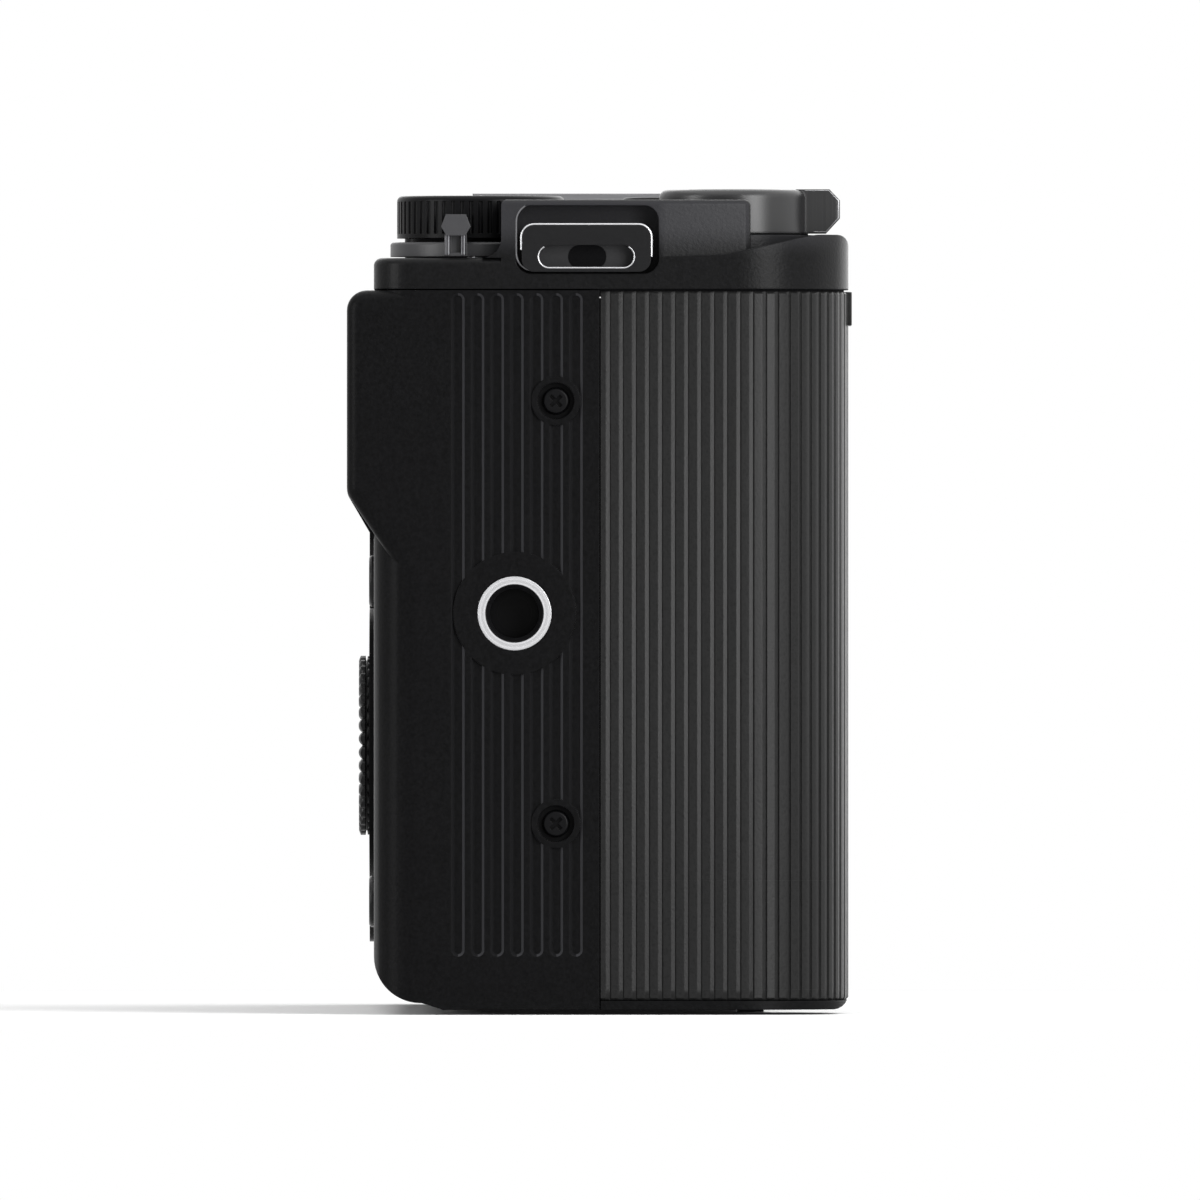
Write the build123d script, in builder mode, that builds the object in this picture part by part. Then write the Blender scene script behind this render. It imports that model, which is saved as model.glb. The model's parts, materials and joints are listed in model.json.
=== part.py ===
from build123d import *

import os
from math import cos, degrees, pi, radians, sin

# A compact mirrorless camera body with a grip, a swing-out monitor and two tripod sockets.
# Millimetres. +Z is up, the lens mount faces -Y, the grip is on the -X side, and the origin
# is under the middle of the body on the surface that it stands on.

# Body envelope
half_width = 59.2
rear_y = 20.2
front_y = -15.1
grip_front_y = -22.3
grip_root_in = 28.2
grip_inner_in = 24.2
rear_corner = 4.0
side_corner = 5.0
grip_corner = 10.0
grip_inner_corner = 5.0
grip_root_corner = 4.0
base_z = 0.25
cover_top_z = 64.6
cover_gap = 0.12
wall = 2.4
seam_gap = 0.1
grip_seam_y = 0.0
port_seam_y = -6.0
base_radius = 4.8
base_rise = 0.6
base_edge_radius = 1.4

# Fits shared by the pieces
panel_gap = 0.15
moving_gap = 0.3
running_gap = 0.05
seat_gap = 0.05
overrun = 5.0

# Grip rubber
rubber = 1.1
rubber_low_z = 1.1
rubber_end_in = 26.6
rib_pitch = 1.165
rib_groove = 0.36
rib_groove_depth = 0.3
rib_first_y = -1.3
rib_last_in = 20.7
lip_height = 3.0
lip_stand = 0.3
lip_margin = 1.2

# Lens mount
mount_x = 8.5
mount_z = 33.4
flange_y = -17.6
throat_radius = 27.0
ring_radius = 30.6
ring_thickness = 2.0
ring_land = 1.4
claw_reach = 1.4
claw_span_angle = 50.0
claw_count = 3
claw_start_angle = 65.0
collar_radius = 31.2
collar_stand = 0.9
flange_to_sensor = 20.0
ring_screw_radius = 28.8
ring_screw_count = 4
ring_screw_angle = 45.0
lock_pin_angle = -26.0
lock_pin_radius = 0.8
lock_pin_stand = 1.3
lock_pin_length = 9.0

# Screws
screw_head_radius = 1.15
screw_head_height = 0.85
screw_shank_radius = 0.65
screw_slot_width = 0.3
screw_slot_length = 1.35
screw_slot_depth = 0.45
ring_screw_length = 3.4
base_screw_length = 5.0
side_screw_length = 4.1
side_screw_recess_radius = 1.65
side_screw_recess = 0.95
side_screw_sink = 0.35
side_screw_y = 3.9
side_screw_low_z = 16.9
side_screw_high_z = 54.7
side_boss_radius = 2.0
side_boss_length = 1.7

# Chassis, baffle and contacts
chassis_thickness = 2.0
chassis_left_reach = 32.5
chassis_right_reach = 32.0
chassis_low_z = 7.0
chassis_high_z = 62.5
chassis_corner = 2.0
chassis_post_radius = 2.0
post_left_reach = 29.5
post_right_reach = 29.0
post_low_z = 10.0
post_high_z = 59.5
chassis_foot_front_y = -8.0
chassis_foot_rear_y = 3.5
boss_inner_radius = 27.6
boss_outer_radius = 30.5
baffle_radius = 27.4
baffle_wall = 1.0
baffle_floor = 1.2
baffle_back_y = -8.4
baffle_window_width = 27.0
baffle_window_height = 19.0
contact_radius = 24.5
contact_width = 3.4
contact_start_angle = 243.0
contact_span_angle = 54.0
contact_depth = 4.0
contact_sink = 1.0
contact_count = 12
contact_pin_radius = 0.45
contact_pin_stand = 0.4

# Shutter
shutter_width = 37.0
shutter_low_z = 4.4
shutter_high_z = 50.5
shutter_depth = 3.7
shutter_window_width = 25.4
shutter_window_height = 17.8
curtain_width = 28.0
curtain_height = 18.6
curtain_thickness = 0.4
curtain_slot = 0.6
curtain_travel = 18.9
curtain_low_z = 5.3

# Sensor
die_width = 22.3
die_height = 14.9
die_margin = 0.85
package_width = 30.0
package_height = 23.0
package_front = 1.4
package_depth = 3.0
sensor_board_width = 38.0
sensor_board_height = 31.0
sensor_board_thickness = 1.4
sensor_leg_radius = 1.2
sensor_leg_inset = 2.5
filter_width = 27.5
filter_height = 20.0
filter_thickness = 1.0

# Main board
board_thickness = 1.4
board_y = 6.5
board_left_reach = 31.0
board_right_reach = 30.5
board_low_z = 8.0
board_high_z = 61.5
chip_size = 15.0
chip_height = 1.5
chip_left_x = -8.0
chip_right_x = 16.0
chip_low_z = 20.0
chip_high_z = 44.0
chip_right_z = 40.0
board_plug_length = 12.0
board_plug_width = 3.0

# Battery, its bay and the memory card
battery_thickness = 14.0
battery_width = 33.0
battery_height = 49.4
battery_corner = 2.2
battery_in = 13.7
battery_y = -1.8
battery_low_z = 3.6
battery_gap = 0.3
bay_wall = 0.6
bay_low_z = 2.1
bay_roof = 0.8
battery_terminal = 0.5
battery_terminal_width = 3.0
lock_width = 4.0
lock_reach = 0.9
lock_low_z = 2.2
lock_top_z = 3.3
lock_arm_height = 5.5
lock_arm_thickness = 1.1
card_width = 24.0
card_height = 32.0
card_thickness = 2.1
card_corner = 4.0
card_in = 24.6
card_y = 2.0
card_low_z = 3.2
card_push = 1.0
slot_wall = 1.0
slot_low_z = 2.6
slot_roof = 2.0

# Bottom plate, battery door and feet
plate_thickness = 1.6
plate_rear_y = 15.9
plate_slope_y = 14.0
door_inset = 3.6
door_edge_in = 27.3
door_rear_y = 15.0
door_hinge_in = 28.3
door_knuckle_radius = 0.75
door_swing_radius = 1.35
door_knuckle_length = 6.0
door_knuckle_front_y = -9.0
door_knuckle_rear_y = 7.0
door_arm_height = 1.2
door_pin_radius = 0.4
door_pin_length = 23.6
door_pin_y = -0.2
latch_in = 7.2
latch_length = 3.6
latch_width = 7.6
latch_depth = 0.8
latch_travel = 2.5
latch_groove = 0.4
latch_groove_pitch = 0.9
latch_groove_count = 3
door_foot_y = -13.5
door_foot_in = 7.2
door_foot_length = 14.0
foot_width = 2.4
foot_y = 12.65
foot_left_in = 31.2
foot_right_in = 11.2
foot_root = 0.8
base_socket_y = 0.0
base_socket_radius = 4.2
base_socket_depth = 5.9
base_socket_end = 0.8
base_socket_flange_radius = 6.0
base_socket_flange = 1.0
base_socket_sink = 0.05
base_pad_radius = 7.5
tripod_radius = 2.55

# Side tripod socket and the side grooves
side_socket_y = 7.6
side_socket_z = 35.7
side_socket_radius = 3.3
side_socket_depth = 4.8
side_socket_end = 0.6
side_socket_flange_radius = 5.2
side_socket_flange = 1.0
side_socket_stand = 0.05
side_socket_disc = 5.5
side_groove_count = 7
side_groove_pitch = 1.76
side_groove_width = 1.2
side_groove_depth = 0.3
side_groove_flank_angle = 40.0
side_groove_y = 2.1
side_groove_low_z = 5.0
side_groove_top = 0.25
side_screw_pad_radius = 2.2

# Rear cover features
thumb_y = 22.6
thumb_inner_in = 25.2
thumb_low_z = 42.3
thumb_step_z = 46.4
thumb_taper_z = 37.0
thumb_top_radius = 1.8
thumb_step_radius = 1.6
thumb_edge = 1.3
wheel_in = 20.7
wheel_z = 23.85
wheel_radius = 7.65
wheel_bump_radius = 0.4
wheel_bumps = 38
wheel_stand = 1.4
wheel_rim = 1.1
wheel_bore = 4.65
wheel_hub_radius = 5.4
wheel_sink = 0.9
surround_radius = 12.3
surround_stand = 0.45
set_radius = 4.25
set_stand = 1.1
rear_board_thickness = 0.8
rear_board_y = 15.75
rear_board_left_in = 3.2
rear_board_right_in = 38.2
rear_board_low_z = 6.0
rear_board_high_z = 43.0

# Push buttons
button_lip = 0.8
button_flange = 0.5
button_edge = 0.3
rear_button_radius = 2.3
rear_button_stand = 0.45
rear_button_left_in = 9.7
rear_button_right_in = 31.7
rear_button_low_z = 9.9
rear_button_high_z = 38.6
record_in = 28.7
record_y = -5.5
record_radius = 3.4
function_in = 37.7
function_y = -6.5
function_radius = 2.4
top_button_stand = 0.4
front_record_in = 9.0
front_record_z = 10.5
front_record_radius = 3.2
front_record_stand = 0.5
release_in = 12.0
release_z = 24.0
release_radius = 4.8
release_stand = 1.3

# Top cover
ledge_z = 67.5
top_z = 72.7
ledge_edge = 0.7
top_edge = 0.5
top_inset = 3.6
ledge_ceiling_z = 65.9
raised_ceiling_z = 69.0
raised_wall_y = 8.8
raised_bend_y = -5.5
raised_end_y = -13.5
raised_end_inset = 1.4
raised_front_y = -14.3
raised_rear_y = 17.5
raised_left_in = 21.4
raised_corner = 5.0
wall_fillet = 1.7
wall_fillet_depth = 2.5
bulge_low_z = 67.6
bulge_high_z = 69.6
bulge_start_y = -5.5
bulge_rise_y = -11.5
bulge_flat_y = -19.4
bulge_bend = 7.0
bulge_nose = 1.0
bulge_toe_share = 0.1
bulge_end_in = 23.7
tally_in = 31.7
tally_z = 57.5
tally_radius = 1.3
tally_stand = 0.2

# Mode dial and power lever
dial_in = 11.7
dial_y = 10.65
dial_radius = 7.5
dial_low_z = 69.3
dial_high_z = 73.1
dial_edge = 0.5
dial_teeth = 56
dial_tooth_radius = 0.2
dial_tooth_margin = 0.4
dial_bay_radius = 9.0
dial_hub_radius = 2.9
shaft_radius = 1.2
shaft_head_radius = 4.0
shaft_head = 0.6
shaft_top_gap = 0.4
dial_cap = 0.8
lever_radius = 8.1
lever_thickness = 1.3
lever_angle_y = 2.2
lever_tip_in = 0.8
lever_root_in = 4.1
lever_stem_in = 1.6
lever_stem_width = 1.96
lever_stem_groove = 0.84
lever_stem_groove_depth = 0.7
lever_tip_width = 2.65
lever_tip_top_width = 1.8
lever_tip_foot_width = 1.7
lever_tip_low_z = 69.5
lever_tip_waist_z = 70.3
lever_tip_high_z = 71.4

# Control dial
control_in = 30.2
control_y = 9.2
control_radius = 5.5
control_low_z = 70.9
control_high_z = 73.0
control_teeth = 40
control_sink_z = 70.6

# Zoom lever and shutter button
zoom_in = 12.2
zoom_y = -12.1
zoom_radius = 6.75
zoom_bore = 4.75
zoom_low_z = 69.75
zoom_edge = 0.7
zoom_bay_radius = 7.3
zoom_pad_z = 69.6
highest_z = 73.7
tab_width = 4.8
tab_root_y = -17.6
tab_top_y = -20.6
tab_front_y = -21.55
tab_foot_y = -20.3
tab_shoulder_z = 72.7
tab_knee_z = 71.1
shutter_button_radius = 4.4
shutter_button_low_z = 71.6
shutter_button_dish = 0.45
shutter_button_lip = 1.0
dish_floor_share = 0.4
dish_rim_share = 0.8

# Accessory shoe
shoe_front_y = -8.7
shoe_rear_y = 11.5
shoe_channel_half = 9.35
shoe_opening_half = 6.35
shoe_wall = 1.2
shoe_channel_height = 2.05
shoe_rail = 0.7
shoe_base = 0.7
shoe_stop = 1.2

# Microphones
grille_reach = 18.5
grille_y = -10.4
grille_length = 9.0
grille_width = 2.6
grille_thickness = 0.8
grille_hole_radius = 0.32
grille_hole_pitch = 1.15
grille_columns = 7
grille_rows = 2

# Strap lugs and their pockets
lug_low_y = -4.6
lug_high_y = 6.95
lug_low_z = 66.25
lug_high_z = 70.45
lug_thickness = 1.65
lug_stand = 0.45
lug_corner = 1.1
lug_foot = 1.75
lug_slot_length = 8.7
lug_slot_height = 2.1
lug_slot_z = 67.6
pocket_low_y = -5.3
pocket_high_y = 7.5
pocket_low_z = 66.1
pocket_high_z = 72.2
pocket_depth = 2.6
pocket_corner = 1.35

# Monitor
monitor_left_in = 41.8
monitor_low_z = 5.7
monitor_high_z = 60.2
monitor_face_y = 20.75
monitor_inner_y = 15.45
monitor_corner = 2.6
monitor_glass_thickness = 0.6
monitor_glass_inset = 0.35
monitor_panel_thickness = 2.6
monitor_panel_right_in = 13.6
monitor_bezel = 1.8
pocket_gap = 0.3
pocket_floor = 1.6
pocket_rim = 1.6
swing_in = 3.0
swing_y = 18.05
swing_edge = 0.5
notch_left_in = 8.3
notch_low_z = 15.5
notch_high_z = 50.5
hinge_barrel_radius = 2.3
hinge_low_z = 22.0
hinge_high_z = 44.0
hinge_arm_left_in = 8.0
hinge_arm_half = 1.85
hinge_ear_radius = 2.2
hinge_ear_height = 3.2
hinge_ear_gap = 0.2
hinge_pin_radius = 0.75
hinge_plate_thickness = 0.45
hinge_plate_left_in = 7.6
hinge_plate_right_in = 0.4
hinge_plate_margin = 2.5
tilt_radius = 1.3
tilt_z = 33.0
tilt_length = 4.7

# Port side
port_cover_thickness = 1.45
port_cover_low_y = -4.0
port_cover_high_y = 13.0
port_cover_corner = 1.5
audio_low_z = 38.2
audio_high_z = 57.2
digital_low_z = 14.0
digital_high_z = 36.6
port_boss_depth = 3.8
port_boss_margin = 1.2
port_y = 4.6
headphone_z = 43.0
microphone_z = 52.4
jack_radius = 3.0
jack_bore = 1.75
jack_depth = 7.0
usb_z = 29.8
usb_length = 9.0
usb_width = 3.3
video_z = 19.4
video_length = 6.6
video_width = 2.9
port_shell = 0.8
port_depth = 8.6
port_board_thickness = 1.2
port_board_half = 6.0

# Cable flap on the grip
flap_left_in = 10.3
flap_right_in = 20.3
flap_low_z = 2.2
flap_high_z = 11.5

# Places measured in from the grip side
grip_root_x = grip_root_in - half_width
grip_inner_x = grip_inner_in - half_width
rubber_end_x = rubber_end_in - half_width
rib_last_x = rib_last_in - half_width
battery_x = battery_in - half_width
card_x = card_in - half_width
door_edge_x = door_edge_in - half_width
door_hinge_x = door_hinge_in - half_width
latch_x = latch_in - half_width
door_foot_x = door_foot_in - half_width
foot_left_x = foot_left_in - half_width
thumb_inner_x = thumb_inner_in - half_width
wheel_x = wheel_in - half_width
rear_board_left_x = rear_board_left_in - half_width
rear_board_right_x = rear_board_right_in - half_width
record_x = record_in - half_width
function_x = function_in - half_width
raised_left_x = raised_left_in - half_width
bulge_end_x = bulge_end_in - half_width
tally_x = tally_in - half_width
dial_x = dial_in - half_width
lever_tip_x = lever_tip_in - half_width
lever_root_x = lever_root_in - half_width
lever_stem_x = lever_stem_in - half_width
control_x = control_in - half_width
zoom_x = zoom_in - half_width
monitor_left_x = monitor_left_in - half_width
flap_left_x = flap_left_in - half_width
flap_right_x = flap_right_in - half_width

# Places measured in from the port side
front_record_x = half_width - front_record_in
release_x = half_width - release_in
foot_right_x = half_width - foot_right_in
monitor_panel_right_x = half_width - monitor_panel_right_in
swing_x = half_width - swing_in
notch_left_x = half_width - notch_left_in
hinge_arm_left_x = half_width - hinge_arm_left_in
hinge_plate_left_x = half_width - hinge_plate_left_in
hinge_plate_right_x = half_width - hinge_plate_right_in

# Places measured from the lens axis
chassis_left_x = mount_x - chassis_left_reach
chassis_right_x = mount_x + chassis_right_reach
board_left_x = mount_x - board_left_reach
board_right_x = mount_x + board_right_reach
chassis_post_xs = (mount_x - post_left_reach, mount_x + post_right_reach)
grille_xs = (mount_x - grille_reach, mount_x + grille_reach)

# Other values that follow
chassis_post_zs = (post_low_z, post_high_z)
chassis_foot_ys = (chassis_foot_front_y, chassis_foot_rear_y)
chip_spots = ((chip_left_x, chip_high_z), (chip_right_x, chip_right_z), (chip_left_x, chip_low_z))
door_knuckle_ys = (door_knuckle_front_y, door_knuckle_rear_y)
jack_zs = (headphone_z, microphone_z)
sensor_y = flange_y + flange_to_sensor
front_inner_y = front_y + wall
rear_inner_y = rear_y - wall
side_inner_x = half_width - wall
chassis_front_y = front_inner_y + seam_gap
chassis_back_y = chassis_front_y + chassis_thickness
top_low_z = cover_top_z + cover_gap
plate_top_z = base_z + plate_thickness
door_hinge_z = base_z + plate_thickness / 2
shutter_front_y = baffle_back_y + seam_gap
shutter_back_y = shutter_front_y + shutter_depth
curtain_y = shutter_front_y + shutter_depth / 2
bay_inner_x = battery_thickness / 2 + battery_gap
bay_inner_y = battery_width / 2 + battery_gap
battery_top_z = battery_low_z + battery_height
shoe_base_z = highest_z - shoe_rail - shoe_channel_height - shoe_base
monitor_right_x = swing_x - swing_edge
body_outline = (
    (-half_width, rear_y),
    (half_width, rear_y),
    (half_width, front_y),
    (grip_root_x, front_y),
    (grip_inner_x, grip_front_y),
    (-half_width, grip_front_y),
)
body_radii = (
    rear_corner,
    rear_corner,
    side_corner,
    grip_root_corner,
    grip_inner_corner,
    grip_corner,
)


def front_at(x, z, y=front_y):
    """Plane that looks forward from a point of the front."""
    return Plane(origin=(x, y, z), x_dir=(1, 0, 0), z_dir=(0, -1, 0))


def rear_at(x, z, y=rear_y):
    """Plane that looks backward from a point of the rear."""
    return Plane(origin=(x, y, z), x_dir=(-1, 0, 0), z_dir=(0, 1, 0))


def top_at(x, y, z=top_z):
    """Plane that looks up from a point of the top."""
    return Plane(origin=(x, y, z))


def grip_side_at(y, z, x=-half_width):
    """Plane that looks out of the grip side, with its x axis towards the front."""
    return Plane(origin=(x, y, z), x_dir=(0, -1, 0), z_dir=(-1, 0, 0))


def port_side_at(y, z, x=half_width):
    """Plane that looks out of the port side, with its x axis towards the rear."""
    return Plane(origin=(x, y, z), x_dir=(0, 1, 0), z_dir=(1, 0, 0))


def base_at(x, y, z=base_z):
    """Plane that looks down from a point of the base."""
    return Plane(origin=(x, y, z), x_dir=(1, 0, 0), z_dir=(0, 0, -1))


def rounded_face(points, corner_radii):
    """Closed flat face through points, with one radius for each corner."""
    with BuildSketch() as outline:
        with BuildLine():
            FilletPolyline(*points, radius=corner_radii, close=True)
        make_face()
    return outline.sketch


def body_plan(inset=0.0):
    """Plan of the lower body, drawn in by an inset."""
    with BuildSketch() as plan:
        add(rounded_face(body_outline, body_radii))
        if inset:
            offset(amount=-inset)
    return plan.sketch


def rectangle(low_x, high_x, low_y, high_y, mode=Mode.ADD):
    """Rectangle between two corners, in the sketch being drawn."""
    with Locations(((low_x + high_x) / 2, (low_y + high_y) / 2)):
        Rectangle(high_x - low_x, high_y - low_y, mode=mode)


def prism(face, plane, start, end, mode=Mode.ADD):
    """Extrude a flat face between two distances from a plane, in the part being built."""
    with BuildSketch(plane.offset(start)) as raised:
        add(face)
    extrude(raised.sketch, amount=end - start, mode=mode)


def block(low, high, mode=Mode.ADD):
    """Box between two corners, in the part being built."""
    sizes = [far - near for near, far in zip(low, high)]
    middle = [(far + near) / 2 for near, far in zip(low, high)]
    with Locations(tuple(middle)):
        Box(*sizes, mode=mode)


def drum(plane, radius, start, end, mode=Mode.ADD):
    """Cylinder between two distances from a plane, in the part being built."""
    with Locations(plane.offset(start)):
        Cylinder(radius, end - start, align=(Align.CENTER, Align.CENTER, Align.MIN), mode=mode)


def turned(plane, points, corner_radii, mode=Mode.ADD):
    """Turn a closed outline of radius and height about a plane's normal."""
    section = Plane(origin=plane.origin, x_dir=plane.x_dir, z_dir=-plane.y_dir)
    with BuildSketch(section) as outline:
        add(rounded_face(points, corner_radii))
    revolve(outline.sketch, axis=Axis(plane.origin, plane.z_dir), mode=mode)


def push_button(plane, radius, stand, skin):
    """Round button through a wall, with a rounded edge and a captive flange behind it."""
    flange_top = -skin - seat_gap
    flange_low = flange_top - button_flange
    lip = radius + button_lip
    points = (
        (0, stand),
        (radius, stand),
        (radius, flange_top),
        (lip, flange_top),
        (lip, flange_low),
        (0, flange_low),
    )
    turned(plane, points, (0, button_edge, 0, 0, 0, 0))


def screw(plane, length, sink, turn):
    """Cross-head screw whose head lies under a plane by a sink."""
    head_low = -sink - screw_head_height
    points = (
        (0, -sink),
        (screw_head_radius, -sink),
        (screw_head_radius, head_low),
        (screw_shank_radius, head_low),
        (screw_shank_radius, -sink - length),
        (0, -sink - length),
    )
    turned(plane, points, (0, screw_head_height / 4, 0, 0, 0, 0))
    for angle in (turn, turn + 90.0):
        with BuildSketch(plane.offset(-sink)) as slot:
            Rectangle(screw_slot_length, screw_slot_width, rotation=angle)
        extrude(slot.sketch, amount=-screw_slot_depth, mode=Mode.SUBTRACT)


def screw_hole(plane, length, sink, counterbore):
    """Hole for a screw, with room for its head when it lies in the wall."""
    drum(plane, screw_shank_radius + running_gap, -sink - length, overrun, mode=Mode.SUBTRACT)
    if counterbore:
        head_low = -sink - screw_head_height - seat_gap
        drum(plane, screw_head_radius + running_gap, head_low, overrun, mode=Mode.SUBTRACT)


def ring_place(radius, angle, y):
    """Forward-looking plane on a circle round the lens axis, at an angle seen from the front."""
    x = mount_x + radius * cos(radians(angle))
    z = mount_z + radius * sin(radians(angle))
    return front_at(x, z, y)


def ring_sector(inner, outer, start, span, low, high, mode=Mode.ADD):
    """Piece of a ring round the lens axis between two depths behind the flange."""
    plane = front_at(mount_x, mount_z, flange_y)
    with BuildSketch(plane.offset(-high)) as sector:
        with BuildLine():
            CenterArc((0, 0), outer, start, span)
            CenterArc((0, 0), inner, start, span)
            for angle in (start, start + span):
                turn = Vector(cos(radians(angle)), sin(radians(angle)))
                Line(turn * inner, turn * outer)
        make_face()
    extrude(sector.sketch, amount=high - low, mode=mode)


# The screws of the base go up into the feet of the chassis
base_screw_spots = [(x, y) for x in chassis_post_xs for y in chassis_foot_ys]
ring_screw_angles = [ring_screw_angle + 360.0 / ring_screw_count * n for n in range(ring_screw_count)]
side_screw_planes = [grip_side_at(side_screw_y, z) for z in (side_screw_low_z, side_screw_high_z)]
mount_plane = front_at(mount_x, mount_z, flange_y)
wheel_plane = rear_at(wheel_x, wheel_z)
side_socket_plane = grip_side_at(side_socket_y, side_socket_z)
base_socket_plane = base_at(mount_x, base_socket_y)
release_plane = front_at(release_x, release_z)
front_record_plane = front_at(front_record_x, front_record_z)
record_plane = top_at(record_x, record_y)
function_plane = top_at(function_x, function_y)
tally_plane = front_at(tally_x, tally_z)
menu_plane = rear_at(rear_button_left_in - half_width, rear_button_high_z)
info_plane = rear_at(rear_button_right_in - half_width, rear_button_high_z)
playback_plane = rear_at(rear_button_left_in - half_width, rear_button_low_z)
delete_plane = rear_at(rear_button_right_in - half_width, rear_button_low_z)
rear_button_planes = (menu_plane, info_plane, playback_plane, delete_plane)
lock_pin_plane = ring_place(ring_screw_radius, lock_pin_angle, flange_y)

# Side view of the lower body: a large radius under the rear and a small one under the grip
side_view = rounded_face(
    (
        (grip_front_y, base_z),
        (plate_slope_y, base_z),
        (plate_rear_y, base_z + base_rise),
        (rear_y, base_z + base_rise),
        (rear_y, cover_top_z),
        (grip_front_y, cover_top_z),
    ),
    (base_edge_radius, 0, 0, base_radius - base_rise, 0, 0),
)
inner_side_view = rounded_face(
    (
        (grip_front_y, base_z - overrun),
        (plate_rear_y + panel_gap, base_z - overrun),
        (plate_rear_y + panel_gap, plate_top_z + base_rise),
        (rear_inner_y, base_z + base_radius),
        (rear_inner_y, cover_top_z + overrun),
        (grip_front_y, cover_top_z + overrun),
    ),
    (0, 0, 0, 0, 0, 0),
)


def cover_shell(region):
    """Walls of the lower body inside a plan region, open above and below."""
    prism(region, Plane.XY, 0, cover_top_z)
    prism(side_view, Plane.YZ, -half_width, half_width, mode=Mode.INTERSECT)
    with BuildPart(mode=Mode.PRIVATE) as hollow:
        prism(body_plan(wall), Plane.XY, -overrun, cover_top_z + overrun)
        prism(inner_side_view, Plane.YZ, -half_width, half_width, mode=Mode.INTERSECT)
    add(hollow.part, mode=Mode.SUBTRACT)


# Rear cover, which wraps round to the grip side and carries the thumb rest
with BuildSketch() as rear_region:
    add(body_plan())
    with BuildSketch(mode=Mode.INTERSECT) as rear_half:
        rectangle(-half_width, 0, grip_seam_y, rear_y)
        rectangle(0, half_width, port_seam_y, rear_y)

thumb_view = rounded_face(
    (
        (rear_inner_y, thumb_low_z),
        (rear_y, thumb_low_z),
        (thumb_y, thumb_step_z),
        (thumb_y, cover_top_z),
        (rear_inner_y, cover_top_z),
    ),
    (0, 0, thumb_step_radius, thumb_top_radius, 0),
)
thumb_corner_view = rounded_face(
    (
        (rear_y - rear_corner, thumb_taper_z),
        (thumb_y, thumb_step_z),
        (thumb_y, cover_top_z),
        (rear_y - rear_corner, cover_top_z),
    ),
    (0, thumb_step_radius, thumb_top_radius, 0),
)

with BuildSketch() as pocket_face:
    rectangle(
        monitor_left_x - pocket_gap,
        half_width + overrun,
        monitor_low_z - pocket_gap,
        monitor_high_z + pocket_gap,
    )
with BuildSketch() as pocket_back:
    rectangle(
        monitor_left_x - pocket_gap - pocket_rim,
        side_inner_x + seat_gap,
        monitor_low_z - pocket_gap - pocket_rim,
        monitor_high_z + pocket_gap + pocket_rim,
    )
pocket_floor_y = monitor_inner_y - pocket_gap

port_floor_x = half_width - port_cover_thickness - seat_gap
port_doors = (
    (audio_low_z, audio_high_z),
    (digital_low_z, digital_high_z),
)

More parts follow.
